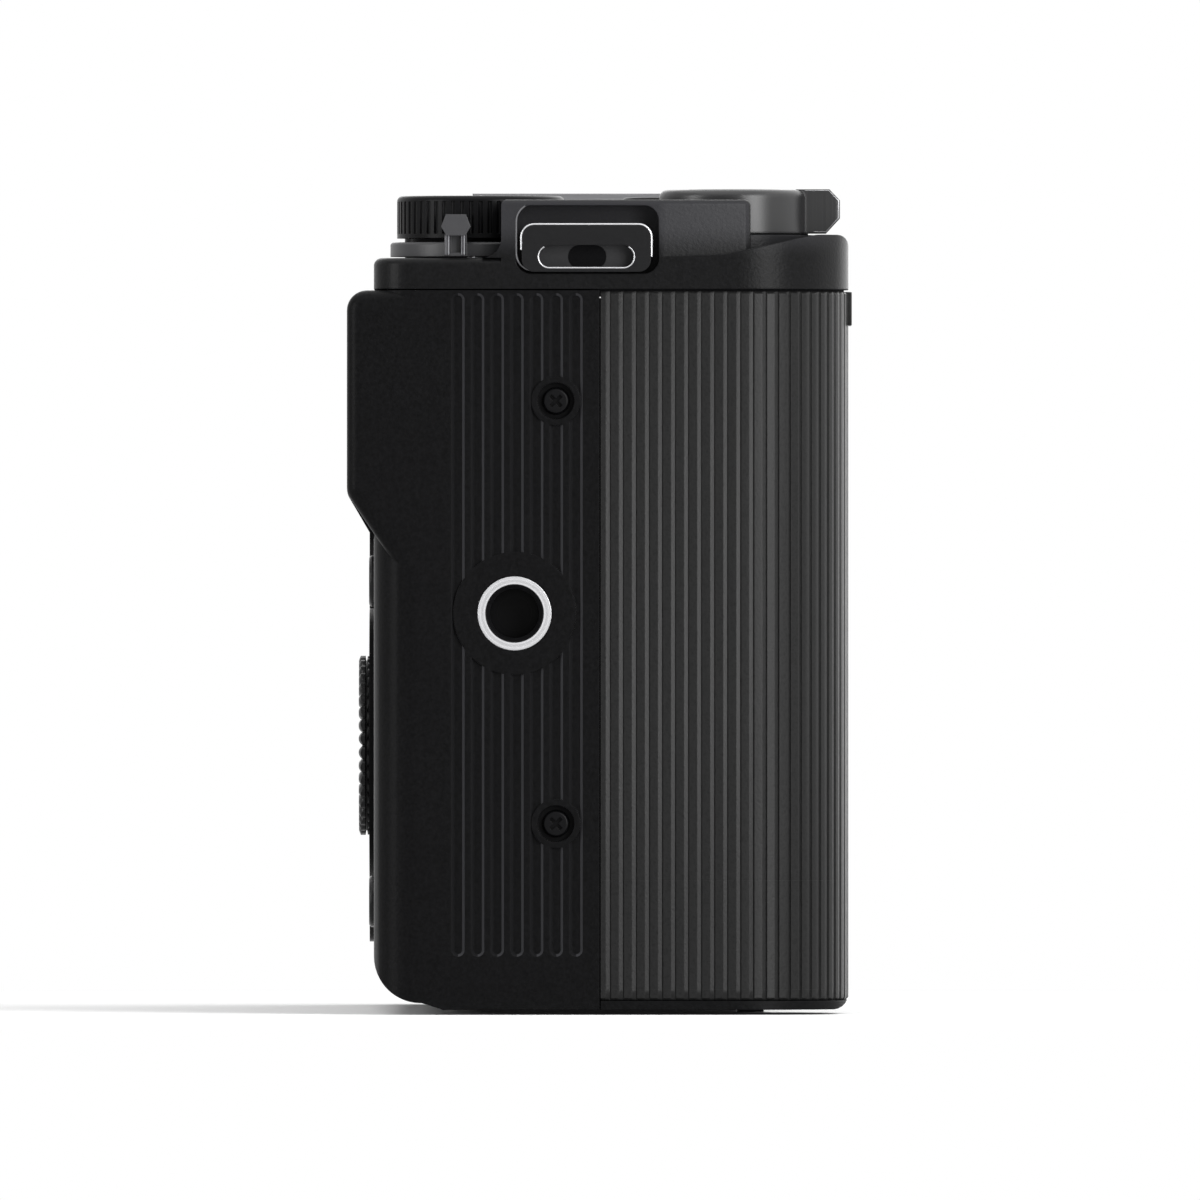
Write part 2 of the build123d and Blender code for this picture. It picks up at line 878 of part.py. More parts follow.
with BuildPart() as rear_cover:
    cover_shell(rear_region.sketch)
    with BuildPart(mode=Mode.PRIVATE) as thumb_rest:
        prism(thumb_view, Plane.YZ, -half_width + rear_corner, thumb_inner_x)
        fillet(thumb_rest.edges().filter_by(Axis.Z).sort_by(Axis.Y)[-2:].sort_by(Axis.X)[-1], thumb_edge)
    add(thumb_rest.part)
    with BuildPart(mode=Mode.PRIVATE) as thumb_corner:
        prism(thumb_corner_view, Plane.YZ, -half_width, -half_width + rear_corner)
        outer_edges = thumb_corner.faces().sort_by(Axis.X)[0].edges().filter_by(
            lambda edge: edge.center().Y > rear_y - rear_corner and edge.center().Z < cover_top_z
        )
        fillet(outer_edges, thumb_edge)
        prism(body_plan(wall), Plane.XY, 0, cover_top_z, mode=Mode.SUBTRACT)
    add(thumb_corner.part)
    drum(wheel_plane, surround_radius, -wall / 2, surround_stand)
    # Well for the monitor
    prism(pocket_back.sketch, Plane.XZ, -rear_inner_y - seat_gap, -pocket_floor_y + pocket_floor)
    prism(pocket_face.sketch, Plane.XZ, -rear_y - overrun, -pocket_floor_y, mode=Mode.SUBTRACT)
    # Thick wall that holds the ports
    block(
        (half_width - port_boss_depth, port_seam_y, digital_low_z - port_boss_margin),
        (side_inner_x + seat_gap, pocket_floor_y - pocket_floor / 2, audio_high_z + port_boss_margin),
    )
    for low_z, high_z in port_doors:
        block(
            (port_floor_x, port_cover_low_y - panel_gap, low_z - panel_gap),
            (half_width + overrun, port_cover_high_y + panel_gap, high_z + panel_gap),
            mode=Mode.SUBTRACT,
        )
    for z in jack_zs:
        drum(port_side_at(port_y, z), jack_radius + panel_gap, -port_depth, 0, mode=Mode.SUBTRACT)
    for z, length, width in ((usb_z, usb_length, usb_width), (video_z, video_length, video_width)):
        half_length = length / 2 + port_shell + panel_gap
        half_height = width / 2 + port_shell + panel_gap
        block(
            (half_width - port_depth, port_y - half_height, z - half_length),
            (half_width, port_y + half_height, z + half_length),
            mode=Mode.SUBTRACT,
        )
    # Side grooves, tripod socket and screws
    groove_length = cover_top_z - side_groove_top - side_groove_low_z
    groove_z = side_groove_low_z + groove_length / 2
    for n in range(side_groove_count):
        with BuildSketch(grip_side_at(side_groove_y + n * side_groove_pitch, groove_z)) as groove:
            SlotOverall(groove_length, side_groove_width, rotation=90.0)
        extrude(groove.sketch, amount=-side_groove_depth, taper=side_groove_flank_angle, mode=Mode.SUBTRACT)
    drum(side_socket_plane, side_socket_disc, -wall / 2, 0)
    for plane in side_screw_planes:
        drum(plane, side_screw_pad_radius, -wall / 2, 0)
        drum(plane, side_boss_radius, -wall - side_boss_length, -wall / 2)
        drum(plane, side_screw_recess_radius, -side_screw_recess, overrun, mode=Mode.SUBTRACT)
        screw_hole(plane, side_screw_length, side_screw_sink, True)
    drum(side_socket_plane, side_socket_radius + seat_gap, -wall - overrun, overrun, mode=Mode.SUBTRACT)
    # Wheel and buttons
    drum(wheel_plane, wheel_radius + wheel_bump_radius + moving_gap, -wheel_sink - moving_gap,
         overrun, mode=Mode.SUBTRACT)
    drum(wheel_plane, wheel_hub_radius + moving_gap / 2, -wall - overrun, overrun, mode=Mode.SUBTRACT)
    for plane in rear_button_planes:
        drum(plane, rear_button_radius + panel_gap, -wall - overrun, overrun, mode=Mode.SUBTRACT)
rear_cover.part.label = "rear_cover"

# Front cover, whose grip is drawn in to take the rubber
with BuildSketch() as front_region:
    add(body_plan())
    with BuildSketch(mode=Mode.INTERSECT) as front_half:
        rectangle(-half_width, 0, grip_front_y, grip_seam_y - seam_gap)
        rectangle(0, half_width, grip_front_y, port_seam_y - seam_gap)


def rubber_plan(gap=0.0):
    """Plan of the rubber on the grip, with a gap behind it and at its ends."""
    with BuildSketch() as band:
        add(body_plan())
        add(body_plan(rubber + gap), mode=Mode.SUBTRACT)
        with BuildSketch(mode=Mode.INTERSECT) as limit:
            rectangle(-half_width, rubber_end_x + gap, grip_front_y, grip_seam_y - seam_gap)
    return band.sketch


collar_plane = front_at(mount_x, mount_z)
with BuildPart() as front_cover:
    cover_shell(front_region.sketch)
    drum(collar_plane, collar_radius, -wall / 2, collar_stand)
    prism(rubber_plan(seat_gap), Plane.XY, rubber_low_z - seat_gap, cover_top_z + overrun, mode=Mode.SUBTRACT)
    drum(collar_plane, ring_radius + panel_gap, -wall - overrun, overrun, mode=Mode.SUBTRACT)
    drum(release_plane, release_radius + panel_gap, -wall - overrun, overrun, mode=Mode.SUBTRACT)
    drum(front_record_plane, front_record_radius + panel_gap, -wall - overrun, overrun, mode=Mode.SUBTRACT)
    drum(tally_plane, tally_radius + seat_gap, -wall - overrun, overrun, mode=Mode.SUBTRACT)
front_cover.part.label = "front_cover"


def rib_places():
    """Places of the grooves between the grip's ribs, along its outline in plan."""
    places = []
    straight = abs(grip_front_y) - grip_corner - abs(rib_first_y)
    arc = grip_corner * pi / 2
    front = rib_last_x + half_width - grip_corner
    count = int((straight + arc + front) / rib_pitch)
    for n in range(count + 1):
        along = n * rib_pitch
        if along <= straight:
            places.append(Location((-half_width, rib_first_y - along, 0), (0, 0, 0)))
        elif along <= straight + arc:
            turn = (along - straight) / grip_corner
            x = -half_width + grip_corner - grip_corner * cos(turn)
            y = grip_front_y + grip_corner - grip_corner * sin(turn)
            places.append(Location((x, y, 0), (0, 0, degrees(turn))))
        else:
            x = -half_width + grip_corner + along - straight - arc
            places.append(Location((x, grip_front_y, 0), (0, 0, 90.0)))
    return places


with BuildSketch() as ribbed_band:
    add(rubber_plan())
    with Locations(*rib_places()):
        Rectangle(2 * rib_groove_depth, rib_groove, mode=Mode.SUBTRACT)

with BuildSketch() as lip_band:
    rectangle(
        -half_width + grip_corner - lip_margin,
        grip_inner_x - lip_margin,
        grip_front_y - lip_stand,
        grip_front_y + rubber / 2,
    )

with BuildPart() as grip_rubber:
    prism(ribbed_band.sketch, Plane.XY, rubber_low_z, cover_top_z - seam_gap)
    prism(lip_band.sketch, Plane.XY, cover_top_z - seam_gap - lip_height, cover_top_z - seam_gap)
    block(
        (flap_left_x - panel_gap, grip_front_y - overrun, flap_low_z - panel_gap),
        (flap_right_x + panel_gap, grip_front_y + grip_corner / 2, flap_high_z + moving_gap),
        mode=Mode.SUBTRACT,
    )
grip_rubber.part.label = "grip_rubber"

flap_hinge_plane = Plane(
    origin=(0, grip_front_y + rubber / 2, flap_low_z + rubber / 2), x_dir=(0, 1, 0), z_dir=(1, 0, 0)
)
with BuildPart() as cable_flap:
    block(
        (flap_left_x, grip_front_y, flap_low_z + rubber / 2),
        (flap_right_x, grip_front_y + rubber, flap_high_z),
    )
    drum(flap_hinge_plane, rubber / 2, flap_left_x, flap_right_x)
cable_flap.part.label = "cable_flap"

# Top cover with its raised middle, the slope over the grip and the bays of the dials
with BuildSketch() as raised_outline:
    add(rounded_face(
        (
            (-half_width, raised_wall_y),
            (-half_width, raised_bend_y),
            (-half_width + raised_end_inset, raised_end_y),
            (grip_inner_x, raised_end_y),
            (grip_root_x, raised_front_y),
            (half_width, raised_front_y),
            (half_width, raised_rear_y),
            (raised_left_x, raised_rear_y),
            (raised_left_x, raised_wall_y),
        ),
        (0, raised_corner, raised_end_inset / 2, 0, raised_end_inset, raised_corner, raised_corner,
         raised_end_inset, 0),
    ))
with BuildSketch() as raised_core:
    add(raised_outline.sketch)
    offset(amount=-top_inset)
    with Locations((dial_x, dial_y)):
        Circle(dial_bay_radius + wall, mode=Mode.SUBTRACT)
    with Locations((zoom_x, zoom_y)):
        Circle(zoom_bay_radius + wall, mode=Mode.SUBTRACT)

bulge_view = rounded_face(
    (
        (bulge_start_y, top_low_z),
        (bulge_start_y, bulge_low_z),
        (bulge_rise_y, bulge_low_z + (bulge_high_z - bulge_low_z) * bulge_toe_share),
        (bulge_flat_y, bulge_high_z),
        (grip_front_y, bulge_high_z),
        (grip_front_y, top_low_z),
    ),
    (0, 0, bulge_bend, bulge_bend / 2, bulge_nose, 0),
)

with BuildSketch() as pocket_view:
    rectangle(-pocket_high_y, -pocket_low_y, pocket_low_z, pocket_high_z)
    fillet(pocket_view.vertices(), pocket_corner)

shoe_half = shoe_channel_half + shoe_wall
with BuildPart() as top_cover:
    prism(body_plan(), Plane.XY, top_low_z, ledge_z)
    fillet(top_cover.faces().sort_by(Axis.Z)[-1].edges(), ledge_edge)
    with BuildPart(mode=Mode.PRIVATE) as bulge:
        prism(body_plan(), Plane.XY, top_low_z, bulge_high_z)
        prism(bulge_view, Plane.YZ, -half_width, bulge_end_x, mode=Mode.INTERSECT)
    add(bulge.part)
    with BuildPart(mode=Mode.PRIVATE) as raised:
        prism(raised_outline.sketch, Plane.XY, (top_low_z + ledge_z) / 2, top_z)
        fillet(raised.faces().sort_by(Axis.Z)[-1].edges(), top_edge)
        drum(top_at(dial_x, dial_y, 0), dial_bay_radius, 0, top_z + overrun, mode=Mode.SUBTRACT)
        drum(top_at(zoom_x, zoom_y, 0), zoom_bay_radius, 0, top_z + overrun, mode=Mode.SUBTRACT)
    add(raised.part)
    drum(top_at(zoom_x, zoom_y, 0), zoom_bay_radius, top_low_z, zoom_pad_z)
    # Quarter hollow where the end wall comes down to the rear ledge
    with BuildSketch(Plane.YZ.offset(-half_width)) as root:
        rectangle(raised_wall_y, raised_wall_y + wall_fillet, ledge_z, ledge_z + wall_fillet)
        with Locations((raised_wall_y + wall_fillet, ledge_z + wall_fillet)):
            Circle(wall_fillet, mode=Mode.SUBTRACT)
    extrude(root.sketch, amount=wall_fillet_depth)
    # Inside
    prism(body_plan(top_inset), Plane.XY, 0, ledge_ceiling_z, mode=Mode.SUBTRACT)
    prism(raised_core.sketch, Plane.XY, 0, raised_ceiling_z, mode=Mode.SUBTRACT)
    # Shafts, dials and buttons
    drum(top_at(dial_x, dial_y, 0), shaft_radius + seat_gap, 0, top_z, mode=Mode.SUBTRACT)
    drum(top_at(control_x, control_y, 0), shaft_radius + seat_gap, 0, top_z, mode=Mode.SUBTRACT)
    drum(top_at(control_x, control_y, 0), control_radius + moving_gap, control_sink_z, top_z + overrun,
         mode=Mode.SUBTRACT)
    drum(top_at(zoom_x, zoom_y, 0), shaft_radius + panel_gap, 0, top_z, mode=Mode.SUBTRACT)
    drum(record_plane, record_radius + panel_gap, -top_z, overrun, mode=Mode.SUBTRACT)
    drum(function_plane, function_radius + panel_gap, -top_z, overrun, mode=Mode.SUBTRACT)
    # Accessory shoe and microphones
    block(
        (mount_x - shoe_half - seat_gap, shoe_front_y - seat_gap, shoe_base_z - seat_gap),
        (mount_x + shoe_half + seat_gap, rear_y, highest_z),
        mode=Mode.SUBTRACT,
    )
    for x in grille_xs:
        block(
            (x - grille_length / 2, grille_y - grille_width / 2, top_z - grille_thickness),
            (x + grille_length / 2, grille_y + grille_width / 2, top_z + overrun),
            mode=Mode.SUBTRACT,
        )
    # Strap lug pockets
    for plane in (grip_side_at(0, 0), port_side_at(0, 0)):
        with BuildSketch(plane) as pocket:
            if plane.z_dir.X < 0:
                add(pocket_view.sketch)
            else:
                mirror(pocket_view.sketch, about=Plane.YZ)
        extrude(pocket.sketch, amount=-pocket_depth, mode=Mode.SUBTRACT)
top_cover.part.label = "top_cover"

# Bottom plate, battery door and what belongs to them
plate_view = rounded_face(
    (
        (grip_front_y, base_z),
        (plate_slope_y, base_z),
        (plate_rear_y, base_z + base_rise),
        (plate_rear_y, plate_top_z),
        (grip_front_y, plate_top_z),
    ),
    (0, 0, 0, 0, 0),
)


def door_plan(gap=0.0):
    """Plan of the battery door, with an even gap round it."""
    with BuildSketch() as plan:
        add(body_plan(door_inset - gap))
        with BuildSketch(mode=Mode.INTERSECT) as limit:
            rectangle(-half_width, door_edge_x + gap, grip_front_y, door_rear_y + gap)
    return plan.sketch


hinge_plane = Plane(origin=(door_hinge_x, 0, door_hinge_z), x_dir=(1, 0, 0), z_dir=(0, 1, 0))
latch_room = (
    (latch_x - latch_length / 2 - panel_gap, -latch_width / 2 - panel_gap, base_z - overrun),
    (latch_x + latch_length / 2 + latch_travel + panel_gap, latch_width / 2 + panel_gap,
     base_z + latch_depth),
)
with BuildPart() as bottom_plate:
    prism(body_plan(wall + panel_gap), Plane.XY, base_z, plate_top_z)
    prism(plate_view, Plane.YZ, -half_width, half_width, mode=Mode.INTERSECT)
    drum(base_socket_plane, base_pad_radius, -plate_thickness, base_z)
    prism(door_plan(panel_gap), Plane.XY, 0, plate_top_z + overrun, mode=Mode.SUBTRACT)
    drum(base_socket_plane, base_socket_radius + seat_gap, -plate_thickness - overrun, overrun,
         mode=Mode.SUBTRACT)
    for y in door_knuckle_ys:
        block(
            (door_edge_x - panel_gap, y - door_knuckle_length / 2 - panel_gap, base_z - overrun),
            (door_hinge_x + door_knuckle_radius + panel_gap, y + door_knuckle_length / 2 + panel_gap,
             plate_top_z + overrun),
            mode=Mode.SUBTRACT,
        )
    drum(hinge_plane, door_pin_radius + seat_gap, door_pin_y - door_pin_length / 2 - seat_gap,
         door_pin_y + door_pin_length / 2 + seat_gap, mode=Mode.SUBTRACT)
    block(
        (foot_left_x, foot_y - foot_width / 2, 0),
        (foot_right_x, foot_y + foot_width / 2, base_z + foot_root),
        mode=Mode.SUBTRACT,
    )
    for x, y in base_screw_spots:
        screw_hole(base_at(x, y), base_screw_length, seat_gap, True)
bottom_plate.part.label = "bottom_plate"

with BuildPart() as battery_door:
    prism(door_plan(), Plane.XY, base_z, plate_top_z)
    prism(plate_view, Plane.YZ, -half_width, half_width, mode=Mode.INTERSECT)
    block(
        (door_foot_x, door_foot_y - foot_width / 2, 0),
        (door_foot_x + door_foot_length, door_foot_y + foot_width / 2, plate_top_z),
    )
    drum(hinge_plane, door_swing_radius, grip_front_y, rear_y, mode=Mode.SUBTRACT)
    for y in door_knuckle_ys:
        drum(hinge_plane, door_knuckle_radius, y - door_knuckle_length / 2, y + door_knuckle_length / 2)
        block(
            (door_hinge_x - door_swing_radius - seat_gap, y - door_knuckle_length / 2,
             door_hinge_z - door_arm_height / 2),
            (door_hinge_x, y + door_knuckle_length / 2, door_hinge_z + door_arm_height / 2),
        )
    drum(hinge_plane, door_pin_radius + running_gap, -door_pin_length, door_pin_length, mode=Mode.SUBTRACT)
    block(*latch_room, mode=Mode.SUBTRACT)
battery_door.part.label = "battery_door"

with BuildPart() as battery_door_latch:
    block(
        (latch_x - latch_length / 2, -latch_width / 2, base_z),
        (latch_x + latch_length / 2, latch_width / 2, base_z + latch_depth - seat_gap),
    )
    for n in range(latch_groove_count):
        x = latch_x + (n - (latch_groove_count - 1) / 2) * latch_groove_pitch
        block(
            (x - latch_groove / 2, -latch_width / 4, base_z - overrun),
            (x + latch_groove / 2, latch_width / 4, base_z + latch_groove),
            mode=Mode.SUBTRACT,
        )
battery_door_latch.part.label = "battery_door_latch"

with BuildPart() as rear_foot:
    block(
        (foot_left_x + seat_gap, foot_y - foot_width / 2 + seat_gap, 0),
        (foot_right_x - seat_gap, foot_y + foot_width / 2 - seat_gap, base_z + foot_root - seat_gap),
    )
rear_foot.part.label = "rear_foot"

with BuildPart() as base_tripod_socket:
    low = -base_socket_sink + base_z
    socket_top = base_socket_depth + base_socket_end
    turned(
        base_socket_plane,
        (
            (tripod_radius, low),
            (base_socket_radius, low),
            (base_socket_radius, -plate_thickness - seat_gap),
            (base_socket_flange_radius, -plate_thickness - seat_gap),
            (base_socket_flange_radius, -plate_thickness - seat_gap - base_socket_flange),
            (base_socket_radius, -plate_thickness - seat_gap - base_socket_flange),
            (base_socket_radius, low - socket_top),
            (0, low - socket_top),
            (0, low - base_socket_depth),
            (tripod_radius, low - base_socket_depth),
        ),
        (0,) * 10,
    )
base_tripod_socket.part.label = "base_tripod_socket"

with BuildPart() as side_tripod_socket:
    flange_top = -wall - seat_gap
    turned(
        side_socket_plane,
        (
            (tripod_radius, side_socket_stand),
            (side_socket_radius, side_socket_stand),
            (side_socket_radius, flange_top),
            (side_socket_flange_radius, flange_top),
            (side_socket_flange_radius, flange_top - side_socket_flange),
            (side_socket_radius, flange_top - side_socket_flange),
            (side_socket_radius, -side_socket_depth - side_socket_end),
            (0, -side_socket_depth - side_socket_end),
            (0, -side_socket_depth),
            (tripod_radius, -side_socket_depth),
        ),
        (0,) * 10,
    )
side_tripod_socket.part.label = "side_tripod_socket"

with BuildPart() as cover_screws:
    for x, y in base_screw_spots:
        screw(base_at(x, y), base_screw_length, seat_gap, 0.0)
    for plane in side_screw_planes:
        screw(plane, side_screw_length - side_screw_sink, side_screw_sink, 45.0)
cover_screws.part.label = "cover_screws"

# Chassis: a plate with the mount's boss, posts for the main board and feet on the bottom plate
post_end_y = board_y - seat_gap
with BuildPart() as chassis:
    with BuildSketch(Plane.XZ.offset(-chassis_back_y)) as chassis_plate:
        rectangle(chassis_left_x, chassis_right_x, chassis_low_z, chassis_high_z)
        fillet(chassis_plate.vertices(), chassis_corner)
    extrude(amount=chassis_thickness)
    drum(mount_plane, boss_outer_radius, flange_y - chassis_back_y, -ring_thickness)
    drum(mount_plane, boss_inner_radius, -half_width, overrun, mode=Mode.SUBTRACT)
    for x in chassis_post_xs:
        for z in chassis_post_zs:
            drum(front_at(x, z, 0), chassis_post_radius, -post_end_y, -chassis_back_y)
        for y in chassis_foot_ys:
            drum(top_at(x, y, 0), chassis_post_radius, plate_top_z + panel_gap, chassis_post_zs[0])
    for x, y in base_screw_spots:
        screw_hole(base_at(x, y), base_screw_length + running_gap, 0, False)
    for angle in ring_screw_angles:
        place = ring_place(ring_screw_radius, angle, flange_y)
        drum(place, screw_shank_radius + running_gap, -ring_screw_length - moving_gap, 0, mode=Mode.SUBTRACT)
    drum(lock_pin_plane, lock_pin_radius + running_gap, -half_width, overrun, mode=Mode.SUBTRACT)
chassis.part.label = "chassis"

with BuildPart() as mount_ring:
    turned(
        mount_plane,
        (
            (throat_radius, 0),
            (ring_radius, 0),
            (ring_radius, -ring_thickness),
            (throat_radius, -ring_thickness),
        ),
        (0, 0, 0, 0),
    )
    for n in range(claw_count):
        start = claw_start_angle + 360.0 / claw_count * n
        ring_sector(throat_radius - claw_reach, throat_radius + seat_gap, start, claw_span_angle,
                    ring_land, ring_thickness)
    for angle in ring_screw_angles:
        screw_hole(ring_place(ring_screw_radius, angle, flange_y), ring_thickness, seat_gap, True)
    drum(lock_pin_plane, lock_pin_radius + running_gap, -ring_thickness - overrun, overrun,
         mode=Mode.SUBTRACT)
mount_ring.part.label = "mount_ring"

with BuildPart() as mount_screws:
    for angle in ring_screw_angles:
        screw(ring_place(ring_screw_radius, angle, flange_y), ring_screw_length, seat_gap, angle)
mount_screws.part.label = "mount_screws"

baffle_front = -ring_thickness - seam_gap
baffle_back = flange_y - baffle_back_y
with BuildPart() as mount_baffle:
    turned(
        mount_plane,
        (
            (0, baffle_back),
            (baffle_radius, baffle_back),
            (baffle_radius, baffle_front),
            (baffle_radius - baffle_wall, baffle_front),
            (baffle_radius - baffle_wall, baffle_back + baffle_floor),
            (0, baffle_back + baffle_floor),
        ),
        (0, 0, 0, 0, 0, 0),
    )
    with BuildSketch(Plane.XZ.offset(-baffle_back_y - overrun)) as window:
        with Locations((mount_x, mount_z)):
            Rectangle(baffle_window_width, baffle_window_height)
            fillet(window.vertices(), screw_head_radius)
    extrude(amount=2 * overrun, mode=Mode.SUBTRACT)
mount_baffle.part.label = "mount_baffle"

with BuildPart() as contact_block:
    ring_sector(contact_radius - contact_width / 2, contact_radius + contact_width / 2, contact_start_angle,
                contact_span_angle, contact_sink, contact_sink + contact_depth)
    for n in range(contact_count):
        angle = contact_start_angle + contact_span_angle * (n + 0.5) / contact_count
        drum(ring_place(contact_radius, angle, flange_y), contact_pin_radius + seat_gap,
             -contact_sink - contact_depth / 2, 0, mode=Mode.SUBTRACT)
contact_block.part.label = "contact_block"

with BuildPart() as contact_pins:
    for n in range(contact_count):
        angle = contact_start_angle + contact_span_angle * (n + 0.5) / contact_count
        drum(ring_place(contact_radius, angle, flange_y), contact_pin_radius,
             -contact_sink - contact_depth / 2 + seat_gap, -contact_sink + contact_pin_stand)
contact_pins.part.label = "contact_pins"

# Shutter frame with its curtain parked below the window
with BuildPart() as shutter_frame:
    block(
        (mount_x - shutter_width / 2, shutter_front_y, shutter_low_z),
        (mount_x + shutter_width / 2, shutter_back_y, shutter_high_z),
    )
    block(
        (mount_x - shutter_window_width / 2, shutter_front_y - overrun, mount_z - shutter_window_height / 2),
        (mount_x + shutter_window_width / 2, shutter_back_y + overrun, mount_z + shutter_window_height / 2),
        mode=Mode.SUBTRACT,
    )
    block(
        (mount_x - curtain_width / 2 - moving_gap, curtain_y - curtain_slot / 2, curtain_low_z - moving_gap),
        (mount_x + curtain_width / 2 + moving_gap, curtain_y + curtain_slot / 2,
         curtain_low_z + curtain_height + curtain_travel + moving_gap),
        mode=Mode.SUBTRACT,
    )
shutter_frame.part.label = "shutter_frame"

with BuildPart() as shutter_curtain:
    block(
        (mount_x - curtain_width / 2, curtain_y - curtain_thickness / 2, curtain_low_z),
        (mount_x + curtain_width / 2, curtain_y + curtain_thickness / 2, curtain_low_z + curtain_height),
    )
shutter_curtain.part.label = "shutter_curtain"

# Sensor, whose surface stands one flange distance behind the mount
package_front_y = sensor_y - package_front
package_back_y = package_front_y + package_depth
sensor_board_back_y = package_back_y + sensor_board_thickness
with BuildPart() as sensor_unit:
    block(
        (mount_x - package_width / 2, package_front_y, mount_z - package_height / 2),
        (mount_x + package_width / 2, package_back_y, mount_z + package_height / 2),
    )
    block(
        (mount_x - sensor_board_width / 2, package_back_y, mount_z - sensor_board_height / 2),
        (mount_x + sensor_board_width / 2, sensor_board_back_y, mount_z + sensor_board_height / 2),
    )
    block(
        (mount_x - die_width / 2 - die_margin, package_front_y - overrun,
         mount_z - die_height / 2 - die_margin),
        (mount_x + die_width / 2 + die_margin, sensor_y, mount_z + die_height / 2 + die_margin),
        mode=Mode.SUBTRACT,
    )
    for x in (-1, 1):
        for z in (-1, 1):
            leg_x = mount_x + x * (sensor_board_width / 2 - sensor_leg_inset)
            leg_z = mount_z + z * (sensor_board_height / 2 - sensor_leg_inset)
            drum(front_at(leg_x, leg_z, 0), sensor_leg_radius, -sensor_board_back_y,
                 -shutter_back_y - seam_gap)
sensor_unit.part.label = "sensor_unit"

with BuildPart() as sensor_glass:
    block(
        (mount_x - filter_width / 2, package_front_y - seat_gap - filter_thickness,
         mount_z - filter_height / 2),
        (mount_x + filter_width / 2, package_front_y - seat_gap, mount_z + filter_height / 2),
    )
sensor_glass.part.label = "sensor_glass"

with BuildPart() as main_board:
    block(
        (board_left_x, board_y, board_low_z),
        (board_right_x, board_y + board_thickness, board_high_z),
    )
    for x, z in chip_spots:
        block(
            (x - chip_size / 2, board_y, z - chip_size / 2),
            (x + chip_size / 2, board_y + board_thickness + chip_height, z + chip_size / 2),
        )
    block(
        (board_right_x - board_plug_width - overrun, board_y, mount_z - board_plug_length / 2),
        (board_right_x - overrun, board_y + board_thickness + chip_height, mount_z + board_plug_length / 2),
    )
main_board.part.label = "main_board"

# Battery, its bay, the lock that holds it and the memory card
bay_low = (battery_x - bay_inner_x - bay_wall, battery_y - bay_inner_y - bay_wall, bay_low_z)
bay_high = (
    battery_x + bay_inner_x + bay_wall,
    battery_y + bay_inner_y + bay_wall,
    battery_top_z + battery_gap + bay_roof,
)


def battery_plan(gap=0.0):
    """Plan of the battery, with an even gap round it."""
    with BuildSketch() as plan:
        with Locations((battery_x, battery_y)):
            RectangleRounded(
                battery_thickness + 2 * gap,
                battery_width + 2 * gap,
                battery_corner + gap,
            )
    return plan.sketch


with BuildPart() as battery_bay:
    prism(battery_plan(battery_gap + bay_wall), Plane.XY, bay_low_z, bay_high[2])
    prism(battery_plan(battery_gap), Plane.XY, 0, battery_top_z + battery_gap, mode=Mode.SUBTRACT)
    block(
        (bay_low[0] - overrun, -lock_width / 2 - moving_gap, bay_low_z - overrun),
        (battery_x, lock_width / 2 + moving_gap, lock_top_z + moving_gap),
        mode=Mode.SUBTRACT,
    )
battery_bay.part.label = "battery_bay"

with BuildPart() as battery:
    prism(battery_plan(), Plane.XY, battery_low_z, battery_top_z)
    block(
        (
            battery_x - battery_terminal_width / 2,
            battery_y - battery_width / 2 - overrun,
            battery_top_z - battery_terminal,
        ),
        (
            battery_x + battery_terminal_width / 2,
            battery_y - battery_width / 2 + battery_corner,
            battery_top_z + overrun,
        ),
        mode=Mode.SUBTRACT,
    )
battery.part.label = "battery"

lock_inner_x = battery_x - battery_thickness / 2 + lock_reach
lock_outer_x = bay_low[0] - moving_gap
with BuildPart() as battery_lock:
    block(
        (lock_outer_x - lock_arm_thickness, -lock_width / 2, lock_low_z),
        (lock_inner_x, lock_width / 2, lock_top_z),
    )
    block(
        (lock_outer_x - lock_arm_thickness, -lock_width / 2, lock_low_z),
        (lock_outer_x, lock_width / 2, lock_low_z + lock_arm_height),
    )
battery_lock.part.label = "battery_lock"

card_high_z = card_low_z + card_height
with BuildPart() as card_slot:
    block(
        (card_x - card_thickness / 2 - panel_gap - slot_wall,
         card_y - card_width / 2 - panel_gap - slot_wall, slot_low_z),
        (card_x + card_thickness / 2 + panel_gap + slot_wall,
         card_y + card_width / 2 + panel_gap + slot_wall,
         card_high_z + card_push + moving_gap + slot_roof),
    )
    block(
        (card_x - card_thickness / 2 - panel_gap, card_y - card_width / 2 - panel_gap, slot_low_z - overrun),
        (card_x + card_thickness / 2 + panel_gap, card_y + card_width / 2 + panel_gap,
         card_high_z + card_push + moving_gap),
        mode=Mode.SUBTRACT,
    )
card_slot.part.label = "card_slot"

with BuildPart() as memory_card:
    with BuildSketch(Plane.YZ.offset(card_x - card_thickness / 2)) as card_face:
        rectangle(card_y - card_width / 2, card_y + card_width / 2, card_low_z, card_high_z)
        upper_front = (card_x, card_y - card_width, card_high_z + card_width)
        chamfer(card_face.vertices().sort_by_distance(upper_front)[0], card_corner)
    extrude(amount=card_thickness)
memory_card.part.label = "memory_card"

